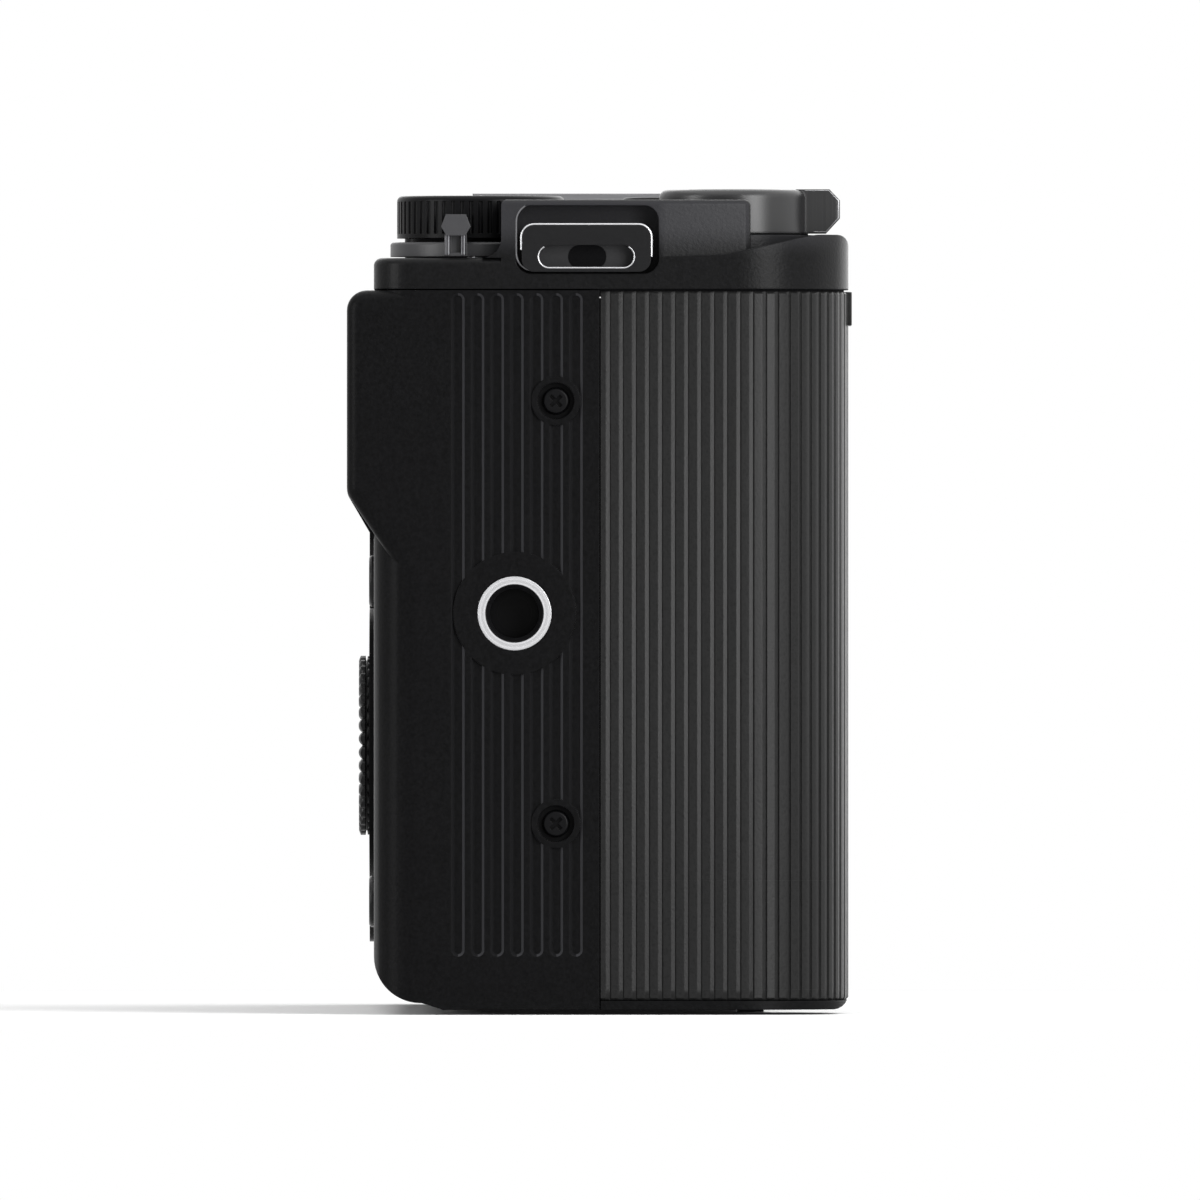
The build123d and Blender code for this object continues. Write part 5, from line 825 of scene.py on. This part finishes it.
@dataclass
class GripRubber(SubAssembly):
    """Ribbed rubber of the grip: flat bands with narrow grooves that catch the light."""

    half_width: float = 59.2
    seam_y: float = -0.1
    front_y: float = -22.3
    corner: float = 10.0
    inner_corner: float = 5.0
    inner_x: float = -35.0
    root: Point = (-31.0, -15.1)
    end_x: float = -32.6
    skin: float = 1.1
    low_z: float = 1.1
    high_z: float = 64.5
    pitch: float = 1.165
    steps_per_pitch: float = 3.0
    first_groove: float = 0.5
    lit_flank: float = 0.32
    groove_floor: float = 0.03
    dark_flank: float = 0.09
    depth: float = 0.17
    last_groove_x: float = -38.4
    edge: float = 0.22
    split: float = 0.002
    window_x: Point = (-49.05, -38.75)
    window_z: Point = (2.05, 11.8)
    lip_x: Point = (-50.4, -36.2)
    lip_height: float = 3.0
    lip_stand: float = 0.3
    lip_root: float = 0.55

    def finishes(self) -> dict[str, Finish]:
        """Name the finish of each CAD node."""
        return {"cable_flap": GRIP, "rear_foot": GRIP}

    def lengths(self) -> tuple[float, float, float, float, float, float]:
        """Work out the lengths of the outline's stretches in plan.

        Returns:
            Side, corner, front, inner corner and slant lengths, and the slant's angle.
        """
        slant = math.atan2(self.root[1] - self.front_y, self.root[0] - self.inner_x)
        tangent = self.inner_corner * math.tan(slant / 2.0)
        side = self.seam_y - self.front_y - self.corner
        front = self.inner_x - tangent + self.half_width - self.corner
        arc_end = self.inner_x - tangent + self.inner_corner * math.sin(slant)
        return (side, self.corner * math.pi / 2.0, front, self.inner_corner * slant,
                (self.end_x - arc_end) / math.cos(slant), slant)

    def at(self, s: float) -> tuple[Vector, Vector]:
        """Find the outline's point at a distance from the seam.

        Args:
            s: Distance along the outline.

        Returns:
            The point and its outward normal.
        """
        side, corner, front, inner, _, slant = self.lengths()
        if s <= side:
            return Vector((-self.half_width, self.seam_y - s, 0.0)), Vector((-1.0, 0.0, 0.0))
        s -= side
        if s <= corner:
            out = Vector((-math.cos(s / self.corner), -math.sin(s / self.corner), 0.0))
            middle = Vector((-self.half_width + self.corner, self.front_y + self.corner, 0.0))
            return middle + out * self.corner, out
        s -= corner
        x = -self.half_width + self.corner + min(s, front)
        if s <= front:
            return Vector((x, self.front_y, 0.0)), Vector((0.0, -1.0, 0.0))
        s -= front
        turn = min(s / self.inner_corner, slant)
        out = Vector((math.sin(turn), -math.cos(turn), 0.0))
        middle = Vector((x, self.front_y + self.inner_corner, 0.0))
        beyond = max(0.0, s - inner)
        along = Vector((math.cos(slant), math.sin(slant), 0.0))
        return middle + out * self.inner_corner + along * beyond, out

    def outline(self) -> list[Point]:
        """List the outline's points with how deep a groove lies there.

        Returns:
            Distances from the seam, each with the depth of the groove at it.
        """
        side, corner, front, inner, slant, _ = self.lengths()
        total = side + corner + front + inner + slant
        groove = self.lit_flank + self.groove_floor + self.dark_flank
        usable = side + corner + self.last_groove_x + self.half_width - self.corner
        count = int((usable - self.first_groove) / self.pitch) + 1
        starts = [self.first_groove + n * self.pitch for n in range(count)]
        steps = int(total / self.pitch * self.steps_per_pitch)
        plain = [total * n / steps for n in range(steps + 1)]
        rows = [(s, 0.0) for s in plain if not any(g <= s <= g + groove for g in starts)]
        for g in starts:
            rows += [(g, 0.0), (g + self.lit_flank, self.depth),
                     (g + self.lit_flank + self.groove_floor, self.depth), (g + groove, 0.0)]
        return sorted(rows)

    def band(self, mesh: Mesh, rows: Sequence[Point], low: float, high: float,
             low_edge: float = 0.0, high_edge: float = 0.0) -> None:
        """Raise part of the outline between two heights.

        Args:
            mesh: Mesh that takes the faces.
            rows: Distances along with groove depths.
            low: Lower height.
            high: Upper height.
            low_edge: Rounding of the outer lower edge.
            high_edge: Rounding of the outer upper edge.
        """
        levels = [(low, low_edge)] if low_edge else []
        levels += [(low + low_edge, 0.0), (high - high_edge, 0.0)]
        levels += [(high, high_edge)] if high_edge else []
        spots = [self.at(s) for s, _ in rows]
        rings = []
        for z, inset in levels:
            up = Vector((0.0, 0.0, z))
            ring = [point - out * max(depth, inset) + up
                    for (point, out), (_, depth) in zip(spots, rows)]
            ring += [point - out * self.skin + up for point, out in reversed(spots)]
            rings.append(ring)
        loft(mesh, rings)

    def trim(self) -> None:
        """Make the ribbed rubber, open at the cable flap, with its front lip."""
        rows = self.outline()
        before = [r for r in rows if self.at(r[0])[0].x <= self.window_x[0]]
        after = [r for r in rows if self.at(r[0])[0].x >= self.window_x[1]]
        low, high = self.window_z
        mesh = bmesh.new()
        self.band(mesh, rows, self.low_z, low, low_edge=self.edge)
        self.band(mesh, before, low + self.split, high - self.split)
        self.band(mesh, after, low + self.split, high - self.split)
        self.band(mesh, rows, high, self.high_z, high_edge=self.edge)
        width = self.lip_x[1] - self.lip_x[0]
        middle = ((self.lip_x[0] + self.lip_x[1]) / 2.0, self.high_z - self.lip_height / 2.0)
        slab(mesh, round_box(middle, (width, self.lip_height), self.edge, steps=4), 0.0,
             self.lip_root + self.lip_stand, self.edge / 2.0,
             lambda u, v, h: Vector((u, self.front_y + self.lip_root - h, v)))
        made = self.work.piece("ribbed_grip", mesh, GRIP)
        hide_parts("grip_rubber")


@dataclass
class LensMount(SubAssembly):
    """Mount ring, contacts, baffle and what shows through the mount."""

    def finishes(self) -> dict[str, Finish]:
        """Name the finish of each CAD node."""
        return {"mount_ring": MOUNT, "mount_screws": SCREW, "mount_baffle": BAFFLE,
                "contact_block": BAFFLE, "contact_pins": GOLD, "lens_lock_pin": SPRING,
                "lens_release_button": BUTTON, "sensor_unit": SENSOR, "sensor_glass": FILTER,
                "shutter_frame": BAFFLE, "shutter_curtain": BLADE}


@dataclass
class TopControls(SubAssembly):
    """Dials, levers and buttons of the top."""

    dial: Point = (-47.5, 10.65)
    dial_top: float = 73.1
    mark_stand: float = 0.02
    mark_reach: float = 5.6
    mark_size: Point = (1.3, 0.32)
    mark_corner: float = 0.1
    mark_dot: float = 0.256
    mark_count: int = 8
    post_ys: Point = (13.58, 12.18)
    post_x: float = -57.45
    post_radius: float = 0.29
    post_low: float = 67.75
    post_high: float = 69.55
    zoom: Point = (-47.0, -12.1)
    felt_radius: float = 6.6
    felt_low: float = 69.4
    felt_high: float = 69.73
    # Path of the bright wire that paints the highlight along the tab's edge
    tab_face: float = 2.34
    tab_wire: float = 0.07
    tab_outline: tuple[Point, ...] = ((-18.4, 73.6), (-20.56, 73.6), (-21.4, 72.7),
                                      (-21.4, 71.15), (-20.3, 69.9), (-19.2, 69.9))

    def finishes(self) -> dict[str, Finish]:
        """Name the finish of each CAD node."""
        return {"mode_dial": DIAL, "power_lever": LEVER, "control_dial": CONTROL,
                "zoom_lever": ZOOM, "shutter_button": ZOOM, "top_record_button": TOP_RECORD,
                "function_button": BUTTON, "front_record_button": FRONT_RECORD,
                "dial_shafts": SPRING, "microphone_grilles": GRILLE, "tally_lamp": LAMP}

    def marks(self) -> None:
        """Print a ring of bars and dots for the settings on the mode dial."""
        mesh = bmesh.new()
        bar = round_box((self.mark_reach, 0.0), self.mark_size, self.mark_corner, steps=3)
        dot = arc((self.mark_reach, 0.0), self.mark_dot, 0.0, 350.0, steps=14)
        centre = Matrix.Translation((*self.dial, self.dial_top))
        for n in range(self.mark_count):
            spin = centre @ Matrix.Rotation(2.0 * math.pi * n / self.mark_count, 4, "Z")
            slab(mesh, dot if n % 2 else bar, -self.mark_stand, self.mark_stand,
                 place=lambda u, v, h: spin @ Vector((u, v, h)))
        self.work.piece("mode_marks", mesh, MARK, "mode_dial_body")

    def trim(self) -> None:
        """Add the dial's marks, the lever's pins, the zoom ring's felt and a painted highlight
        along its tab's edge.
        """
        self.marks()
        mesh = bmesh.new()
        for y in self.post_ys:
            slab(mesh, arc((self.post_x, y), self.post_radius, 0.0, 342.0, steps=19),
                 self.post_low, self.post_high)
        self.work.piece("lever_pins", mesh, PIN, "power_lever_body")
        mesh = bmesh.new()
        slab(mesh, arc(self.zoom, self.felt_radius, 0.0, 355.0, steps=71), self.felt_low,
             self.felt_high)
        self.work.piece("zoom_felt", mesh, BAFFLE)
        # A bright wire along the tab's edge is a painted highlight.
        mesh = bmesh.new()
        wire(mesh, self.zoom[0] - self.tab_face, self.tab_outline, self.tab_wire)
        self.work.piece("zoom_tab_highlight", mesh, TAB_HIGHLIGHT, "zoom_lever_body", 60.0)


@dataclass
class AccessoryShoe(SubAssembly):
    """Accessory shoe with the leaf springs under its rails and its contacts."""

    middle_x: float = 8.5
    floor_z: float = 70.95
    rail_low_z: float = 73.0
    channel_half: float = 9.35
    spring_width: float = 1.6
    spring_gap: float = 0.25
    spring_drop: float = 0.03
    spring_y: Point = (-5.5, 10.0)
    spring_thickness: float = 0.16
    spring_rise: float = 0.35
    spring_steps: int = 16
    contact_y: float = 0.6
    contact_radius: float = 0.85
    contact_spots: tuple[Point, ...] = ((0.0, 0.0), (-3.2, -3.4), (3.2, -3.4), (-3.2, 2.4))
    pad_stand: float = 0.06
    pad_edge: float = 0.03

    def finishes(self) -> dict[str, Finish]:
        """Name the finish of each CAD node."""
        return {"accessory_shoe": SHOE}

    def trim(self) -> None:
        """Add the two bowed springs and the contact pads."""
        mesh = bmesh.new()
        half = self.spring_width / 2.0
        for side in (-1.0, 1.0):
            x = self.middle_x + side * (self.channel_half - half - self.spring_gap)
            rings = []
            for n in range(self.spring_steps + 1):
                share = n / self.spring_steps
                y = self.spring_y[0] + (self.spring_y[1] - self.spring_y[0]) * share
                sag = self.spring_rise * math.sin(math.pi * share) ** 2
                top = self.rail_low_z - self.spring_drop - sag
                low = top - self.spring_thickness
                rings.append([Vector((x - half, y, low)), Vector((x + half, y, low)),
                              Vector((x + half, y, top)), Vector((x - half, y, top))])
            loft(mesh, rings)
        self.work.piece("shoe_springs", mesh, SPRING, smooth_deg=60.0)
        mesh = bmesh.new()
        for dx, dy in self.contact_spots:
            centre = (self.middle_x + dx, self.contact_y + dy)
            slab(mesh, arc(centre, self.contact_radius, 0.0, 345.0, steps=22), self.floor_z,
                 self.floor_z + self.pad_stand, self.pad_edge)
        self.work.piece("shoe_contacts", mesh, GOLD)


@dataclass
class StrapLug(SubAssembly):
    """One side's slotted strap lug, with painted highlight wires on its rims and the anchor
    behind the slot.
    """

    name: str = "grip"
    side: float = -1.0
    side_x: float = 59.2
    stand: float = 0.45
    low_y: float = -4.6
    high_y: float = 6.95
    high_z: float = 70.45
    corner: float = 1.1
    rear_low_z: float = 68.2
    front_low_z: float = 67.6
    rim: float = 0.14
    rim_reach: float = 0.02
    slot_y: float = 1.175
    slot_z: float = 67.6
    slot_length: float = 8.7
    slot_height: float = 2.1
    slot_rim: float = 0.11
    slot_arcs: tuple[Point, Point] = ((118.0, 262.0), (-82.0, 62.0))
    anchor_depth: float = 0.95
    anchor_skin: float = 0.5
    anchor_size: Point = (9.5, 2.8)
    anchor_corner: float = 1.2
    anchor_edge: float = 0.05
    # The eye is a thin matt black patch on the anchor: painted shade of the hole through it
    eye_y: float = 1.1
    eye_size: Point = (3.4, 2.06)
    eye_corner: float = 0.98
    eye_stand: Point = (-0.1, 0.04)
    pocket_y: float = 7.45
    pocket_low: float = 66.35
    pocket_high: float = 72.35
    pocket_corner: float = 1.6
    pocket_run: float = 1.2
    pocket_wire: float = 0.08
    pocket_sink: float = 0.04

    def finishes(self) -> dict[str, Finish]:
        """Name the finish of each CAD node."""
        return {f"{self.name}_strap_lug": LUG}

    def rims(self) -> None:
        """Paint highlights as bright wires round the plate's top and the slot's ends."""
        reach = self.corner + self.rim_reach
        top = [(self.high_y + self.rim_reach, self.rear_low_z)]
        for y, start in ((self.high_y - self.corner, 0.0), (self.low_y + self.corner, 90.0)):
            top += arc((y, self.high_z - self.corner), reach, start, start + 90.0, steps=8)
        top += [(self.low_y - self.rim_reach, self.front_low_z)]
        mesh = bmesh.new()
        wire(mesh, self.side * (self.side_x + self.stand - self.rim), top, self.rim)
        radius = self.slot_height / 2.0 - self.rim_reach
        reach = self.slot_length / 2.0 - self.slot_height / 2.0
        slot: list[Point] = []
        for y, (start, end) in zip((self.slot_y - reach, self.slot_y + reach), self.slot_arcs):
            slot += arc((y, self.slot_z), radius, start, end, steps=14)
        wire(mesh, self.side * (self.side_x + self.stand - self.slot_rim), slot, self.slot_rim)
        self.work.piece(f"{self.name}_lug_rim_highlights", mesh, LUG_HIGHLIGHT, smooth_deg=60.0)

    def raised(self, outline: Sequence[Point], low: float, high: float,
               edge: float = 0.0) -> Mesh:
        """Raise an outline of the side view between two distances from the camera's middle.

        Args:
            outline: Points as (y, z).
            low: Nearer distance.
            high: Further distance.
            edge: Size of the broken outer edge.

        Returns:
            The mesh, in millimetres.
        """
        mesh = bmesh.new()
        slab(mesh, outline, low, high, edge, lambda u, v, h: Vector((self.side * h, u, v)))
        return mesh

    def trim(self) -> None:
        """Add the rim highlights, the anchor behind the slot, a painted shade patch for its eye
        and a painted highlight on the pocket's edge.
        """
        self.rims()
        face = self.side_x - self.anchor_depth
        plate = round_box((self.slot_y, self.slot_z), self.anchor_size, self.anchor_corner)
        self.work.piece(f"{self.name}_lug_anchor",
                        self.raised(plate, face - self.anchor_skin, face, self.anchor_edge),
                        ANCHOR)
        # A matt black patch paints the shade in the anchor's eye.
        eye = round_box((self.eye_y, self.slot_z), self.eye_size, self.eye_corner)
        self.work.piece(f"{self.name}_lug_eye_shade",
                        self.raised(eye, face + self.eye_stand[0], face + self.eye_stand[1]),
                        BAFFLE)
        # A grey wire along the pocket's edge is a painted highlight.
        y = self.pocket_y - self.pocket_corner
        edge = arc((y, self.pocket_high - self.pocket_corner), self.pocket_corner, 60.0, 0.0,
                   steps=8)
        edge += arc((y, self.pocket_low + self.pocket_corner), self.pocket_corner, 0.0, -90.0,
                    steps=12)
        edge += [(y - self.pocket_run, self.pocket_low)]
        mesh = bmesh.new()
        wire(mesh, self.side * (self.side_x - self.pocket_sink), edge, self.pocket_wire)
        self.work.piece(f"{self.name}_pocket_rim_highlight", mesh, POCKET_HIGHLIGHT, smooth_deg=60.0)


@dataclass
class RearControls(SubAssembly):
    """Wheel and buttons of the rear."""

    wheel: Spot = (-38.5, 20.2, 23.85)
    radius: float = 7.65
    bumps: int = 38
    steps_per_bump: int = 10
    bump: float = 0.4
    valley: float = 0.15  # share of a bump's height that is left between two bumps
    roundness: float = 0.7
    notch: float = 0.42
    notch_from: float = 1.2
    split: float = 0.71
    swells_from: float = 0.005
    # How far each point of the rim stands over the radius, and its height. The bumps swell
    # the points that stand over swells_from.
    rim: tuple[Point, ...] = ((0.001, 0.02), (0.01, 0.43), (0.01, 0.61), (0.002, 0.67),
                              (0.003, 0.75), (0.02, 0.81), (0.02, 1.24), (0.003, 1.4))
    top_rings: Point = (0.9, 1.2)
    bore: float = 4.65
    bore_edge: float = 0.15
    hub: float = 5.4
    lip: float = 5.75
    hub_low: float = -2.4
    lip_high: float = -1.7
    sink: float = -0.9
    top: float = 1.4
    face: float = 1.1

    def finishes(self) -> dict[str, Finish]:
        """Name the finish of each CAD node."""
        return {f"{name}_button": BUTTON for name in ("set", "menu", "info", "playback",
                                                      "delete")}

    def knurled(self, radius: float, height: float, angle: float) -> Point:
        """Swell the rim by its two rows of bumps, and notch its rear edge between them.

        Args:
            radius: Radius of a point of the profile.
            height: Its height.
            angle: Its angle round the wheel.

        Returns:
            The radius and height that it gets.
        """
        half = math.pi / self.bumps if height > self.split else 0.0
        wave = abs(math.cos((angle + half) * self.bumps / 2.0)) ** self.roundness
        if height > self.notch_from:
            height -= self.notch * (1.0 - wave)
        if radius - self.radius < self.swells_from:
            return radius, height
        return self.radius + self.bump * (self.valley + (1.0 - self.valley) * wave), height

    def trim(self) -> None:
        """Turn the wheel's ring with two rows of bumps, half a bump apart."""
        profile = [(self.bore, self.face - self.bore_edge), (self.bore, self.hub_low),
                   (self.lip, self.hub_low), (self.lip, self.lip_high),
                   (self.hub, self.lip_high), (self.hub, self.sink), (self.radius, self.sink)]
        profile += [(self.radius + stand, height) for stand, height in self.rim]
        profile += [(self.radius - self.top_rings[0], self.top),
                    (self.radius - self.top_rings[1], self.face),
                    (self.bore + self.bore_edge, self.face)]
        mesh = bmesh.new()
        place = Matrix.Translation(self.wheel) @ Matrix.Rotation(math.radians(-90.0), 4, "X")
        turned(mesh, profile, place, self.bumps * self.steps_per_bump, self.knurled)
        made = self.work.piece("knurled_wheel", mesh, WHEEL, "wheel_body")
        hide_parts("rear_wheel")


@dataclass
class Monitor(SubAssembly):
    """Swing-out monitor with its hinge."""

    def finishes(self) -> dict[str, Finish]:
        """Name the finish of each CAD node."""
        return {"monitor_shell": COVER, "monitor_panel": PANEL, "monitor_glass": SCREEN,
                "monitor_hinge_block": LUG, "hinge_bracket": LUG, "hinge_pins": SPRING}


@dataclass
class PortSide(SubAssembly):
    """Port covers and sockets."""

    def finishes(self) -> dict[str, Finish]:
        """Name the finish of each CAD node."""
        return {"audio_cover": COVER, "digital_cover": COVER, "port_sockets": BAFFLE}


@dataclass
class Base(SubAssembly):
    """Battery door, its latch and the tripod sockets with their threads."""

    pitch: float = 1.27
    crest: float = 2.2
    root: float = 2.52
    root_land: float = 0.05
    wall: float = 2.54
    turns: int = 3
    side_place: Spot = (-59.0, 7.6, 35.7)
    base_place: Spot = (8.5, 0.0, 0.45)

    def finishes(self) -> dict[str, Finish]:
        """Name the finish of each CAD node."""
        return {"battery_door": COVER, "battery_door_latch": BUTTON,
                "base_tripod_socket": BASE_THREAD, "side_tripod_socket": SIDE_THREAD}

    def trim(self) -> None:
        """Line both tripod sockets with their threads."""
        profile = [(self.wall, 0.0)]
        for n in range(self.turns):
            profile += [(self.root, self.pitch * n + self.root_land),
                        (self.crest, self.pitch * (n + 0.5)),
                        (self.root, self.pitch * (n + 1) - self.root_land)]
        profile += [(self.wall, self.pitch * self.turns)]
        for name, place, inward in (("side_thread", self.side_place, (1.0, 0.0, 0.0)),
                                    ("base_thread", self.base_place, (0.0, 0.0, 1.0))):
            spin = Vector(inward).to_track_quat("Z", "Y").to_matrix().to_4x4()
            mesh = bmesh.new()
            turned(mesh, profile, Matrix.Translation(place) @ spin, steps=64)
            # The threads wear a dark finish that paints the shade inside the bores.
            self.work.piece(name, mesh, BORE, smooth_deg=20.0)


@dataclass
class Inside(SubAssembly):
    """What the closed camera hides: chassis, boards, battery and card."""

    def finishes(self) -> dict[str, Finish]:
        """Name the finish of each CAD node."""
        return {"chassis": CHASSIS, "main_board": BOARD, "rear_board": REAR_BOARD,
                "battery_bay": BAFFLE, "battery": BATTERY, "battery_lock": BUTTON,
                "card_slot": PANEL, "memory_card": CARD}


@dataclass(frozen=True)
class Lamp:
    """A soft rectangular lamp: places and sizes in millimetres, power in watts."""

    name: str
    place: Spot
    size: Point
    power: float
    aim: Spot = (-40.0, 0.0, 36.0)

    def hang(self) -> None:
        """Hang the lamp, facing its aim."""
        data = bpy.data.lights.new(self.name, "AREA")
        data.shape = "RECTANGLE"
        data.size, data.size_y = self.size[0] * MM, self.size[1] * MM
        data.energy = self.power
        held = bpy.data.objects.new(self.name, data)
        held.location = Vector(self.place) * MM
        held.rotation_mode = "QUATERNION"
        held.rotation_quaternion = (Vector(self.aim)
                                    - Vector(self.place)).to_track_quat("-Z", "Y")
        bpy.context.scene.collection.objects.link(held)


LAMPS = (Lamp("front_quarter", (-531.0, -312.0, 190.0), (240.0, 420.0), 4.0),
         Lamp("front_edge", (-60.0, -600.0, 330.0), (800.0, 700.0), 2.4),
         Lamp("rear_edge", (-290.0, 540.0, 150.0), (200.0, 420.0), 2.0),
         Lamp("overhead", (-90.0, 0.0, 560.0), (900.0, 900.0), 3.9),
         Lamp("port_fill", (560.0, -200.0, 220.0), (800.0, 800.0), 2.6, (40.0, 0.0, 36.0)))


@dataclass
class Studio:
    """Plain pale floor, white surround, camera and soft lamps."""

    view_width: float = 107.3
    target_y: float = -0.04
    target_z: float = 36.9
    near_x: float = -59.2
    distance: float = 4500.0
    sensor: float = 36.0
    clip: Point = (50.0, 20000.0)
    ambient: float = 0.2
    floor_radius: float = 6000.0
    floor_drop: float = 0.2
    floor_fade: Point = (50.0, 220.0)
    paper: str = "#f4f4f4"

    def surround(self) -> None:
        """Make a world that is white to the camera and in reflections, and dim as a lamp."""
        world = bpy.data.worlds.new("surround")
        bpy.context.scene.world = world
        world.use_nodes = True
        tree = world.node_tree
        tree.nodes.clear()
        ray = add_node(tree, "ShaderNodeLightPath").outputs
        seen = ray["Is Camera Ray"]
        for kind in ("Is Glossy Ray", "Is Transmission Ray"):
            seen = add_node(tree, "ShaderNodeMath", {0: seen, 1: ray[kind]},
                            operation="MAXIMUM").outputs[0]
        dim = add_node(tree, "ShaderNodeBackground", {"Color": WHITE, "Strength": self.ambient})
        white = add_node(tree, "ShaderNodeBackground", {"Color": WHITE, "Strength": 1.0})
        mixed = add_node(tree, "ShaderNodeMixShader", {0: seen, 1: dim.outputs[0],
                                                       2: white.outputs[0]})
        add_node(tree, "ShaderNodeOutputWorld", {"Surface": mixed.outputs[0]})

    def paper_material(self) -> bpy.types.Material:
        """Make white paper that fades into the surround and is clear from below.

        Returns:
            The material with its node tree.
        """
        material = bpy.data.materials.new("floor_paper_white")
        material.use_nodes = True
        tree = material.node_tree
        tree.nodes.clear()
        place = add_node(tree, "ShaderNodeTexCoord").outputs["Object"]
        reach = add_node(tree, "ShaderNodeVectorMath", {0: place},
                         operation="LENGTH").outputs["Value"]
        fade = add_node(tree, "ShaderNodeMapRange",
                        {"Value": reach, "From Min": self.floor_fade[0] * MM,
                         "From Max": self.floor_fade[1] * MM}).outputs[0]
        ray = add_node(tree, "ShaderNodeLightPath").outputs
        far = add_node(tree, "ShaderNodeMath", {0: fade, 1: ray["Is Camera Ray"]},
                       operation="MULTIPLY").outputs[0]
        share = add_node(tree, "ShaderNodeMath", {0: far, 1: ray["Is Glossy Ray"]},
                         operation="MAXIMUM").outputs[0]
        paper = add_node(tree, "ShaderNodeBsdfDiffuse", {"Color": linear(self.paper)})
        glow = add_node(tree, "ShaderNodeEmission", {"Color": WHITE, "Strength": 1.0})
        above = add_node(tree, "ShaderNodeMixShader", {0: share, 1: paper.outputs[0],
                                                       2: glow.outputs[0]})
        below = add_node(tree, "ShaderNodeNewGeometry").outputs["Backfacing"]
        clear = add_node(tree, "ShaderNodeBsdfTransparent")
        mixed = add_node(tree, "ShaderNodeMixShader", {0: below, 1: above.outputs[0],
                                                       2: clear.outputs[0]})
        add_node(tree, "ShaderNodeOutputMaterial", {"Surface": mixed.outputs[0]})
        return material

    def floor(self) -> None:
        """Lay a pale floor that keeps the object's shadow and fades to white."""
        mesh = bmesh.new()
        bmesh.ops.create_circle(mesh, cap_ends=True, radius=self.floor_radius * MM, segments=96)
        data = bpy.data.meshes.new("floor")
        mesh.to_mesh(data)
        mesh.free()
        data.materials.append(self.paper_material())
        laid = bpy.data.objects.new("floor", data)
        laid.location = (0.0, 0.0, -self.floor_drop * MM)
        bpy.context.scene.collection.objects.link(laid)

    def camera(self) -> None:
        """Set up the camera square to the grip side, far off, as in the photograph."""
        data = bpy.data.cameras.new("view")
        data.sensor_width = self.sensor
        data.lens = self.sensor * self.distance / self.view_width
        data.clip_start, data.clip_end = self.clip[0] * MM, self.clip[1] * MM
        held = bpy.data.objects.new("view", data)
        held.location = Vector((self.near_x - self.distance, self.target_y, self.target_z)) * MM
        held.rotation_euler = (math.radians(90.0), 0.0, math.radians(-90.0))
        bpy.context.scene.collection.objects.link(held)
        bpy.context.scene.camera = held

    def build(self) -> None:
        """Set the stage, the view and the lamps."""
        bpy.context.scene.view_settings.view_transform = "Standard"
        self.surround()
        self.floor()
        self.camera()
        for lamp in LAMPS:
            lamp.hang()


def main() -> None:
    """Load the frame, build each sub-assembly in order and set the studio."""
    logging.basicConfig(level=logging.INFO, format="%(message)s")
    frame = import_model()
    work = Work(frame)
    for part in (Covers(work), GripRubber(work), LensMount(work), TopControls(work),
                 AccessoryShoe(work), StrapLug(work), StrapLug(work, "side", 1.0),
                 RearControls(work), Monitor(work), PortSide(work), Base(work), Inside(work)):
        part.build()
    Studio().build()


if __name__ == "__main__":
    main()
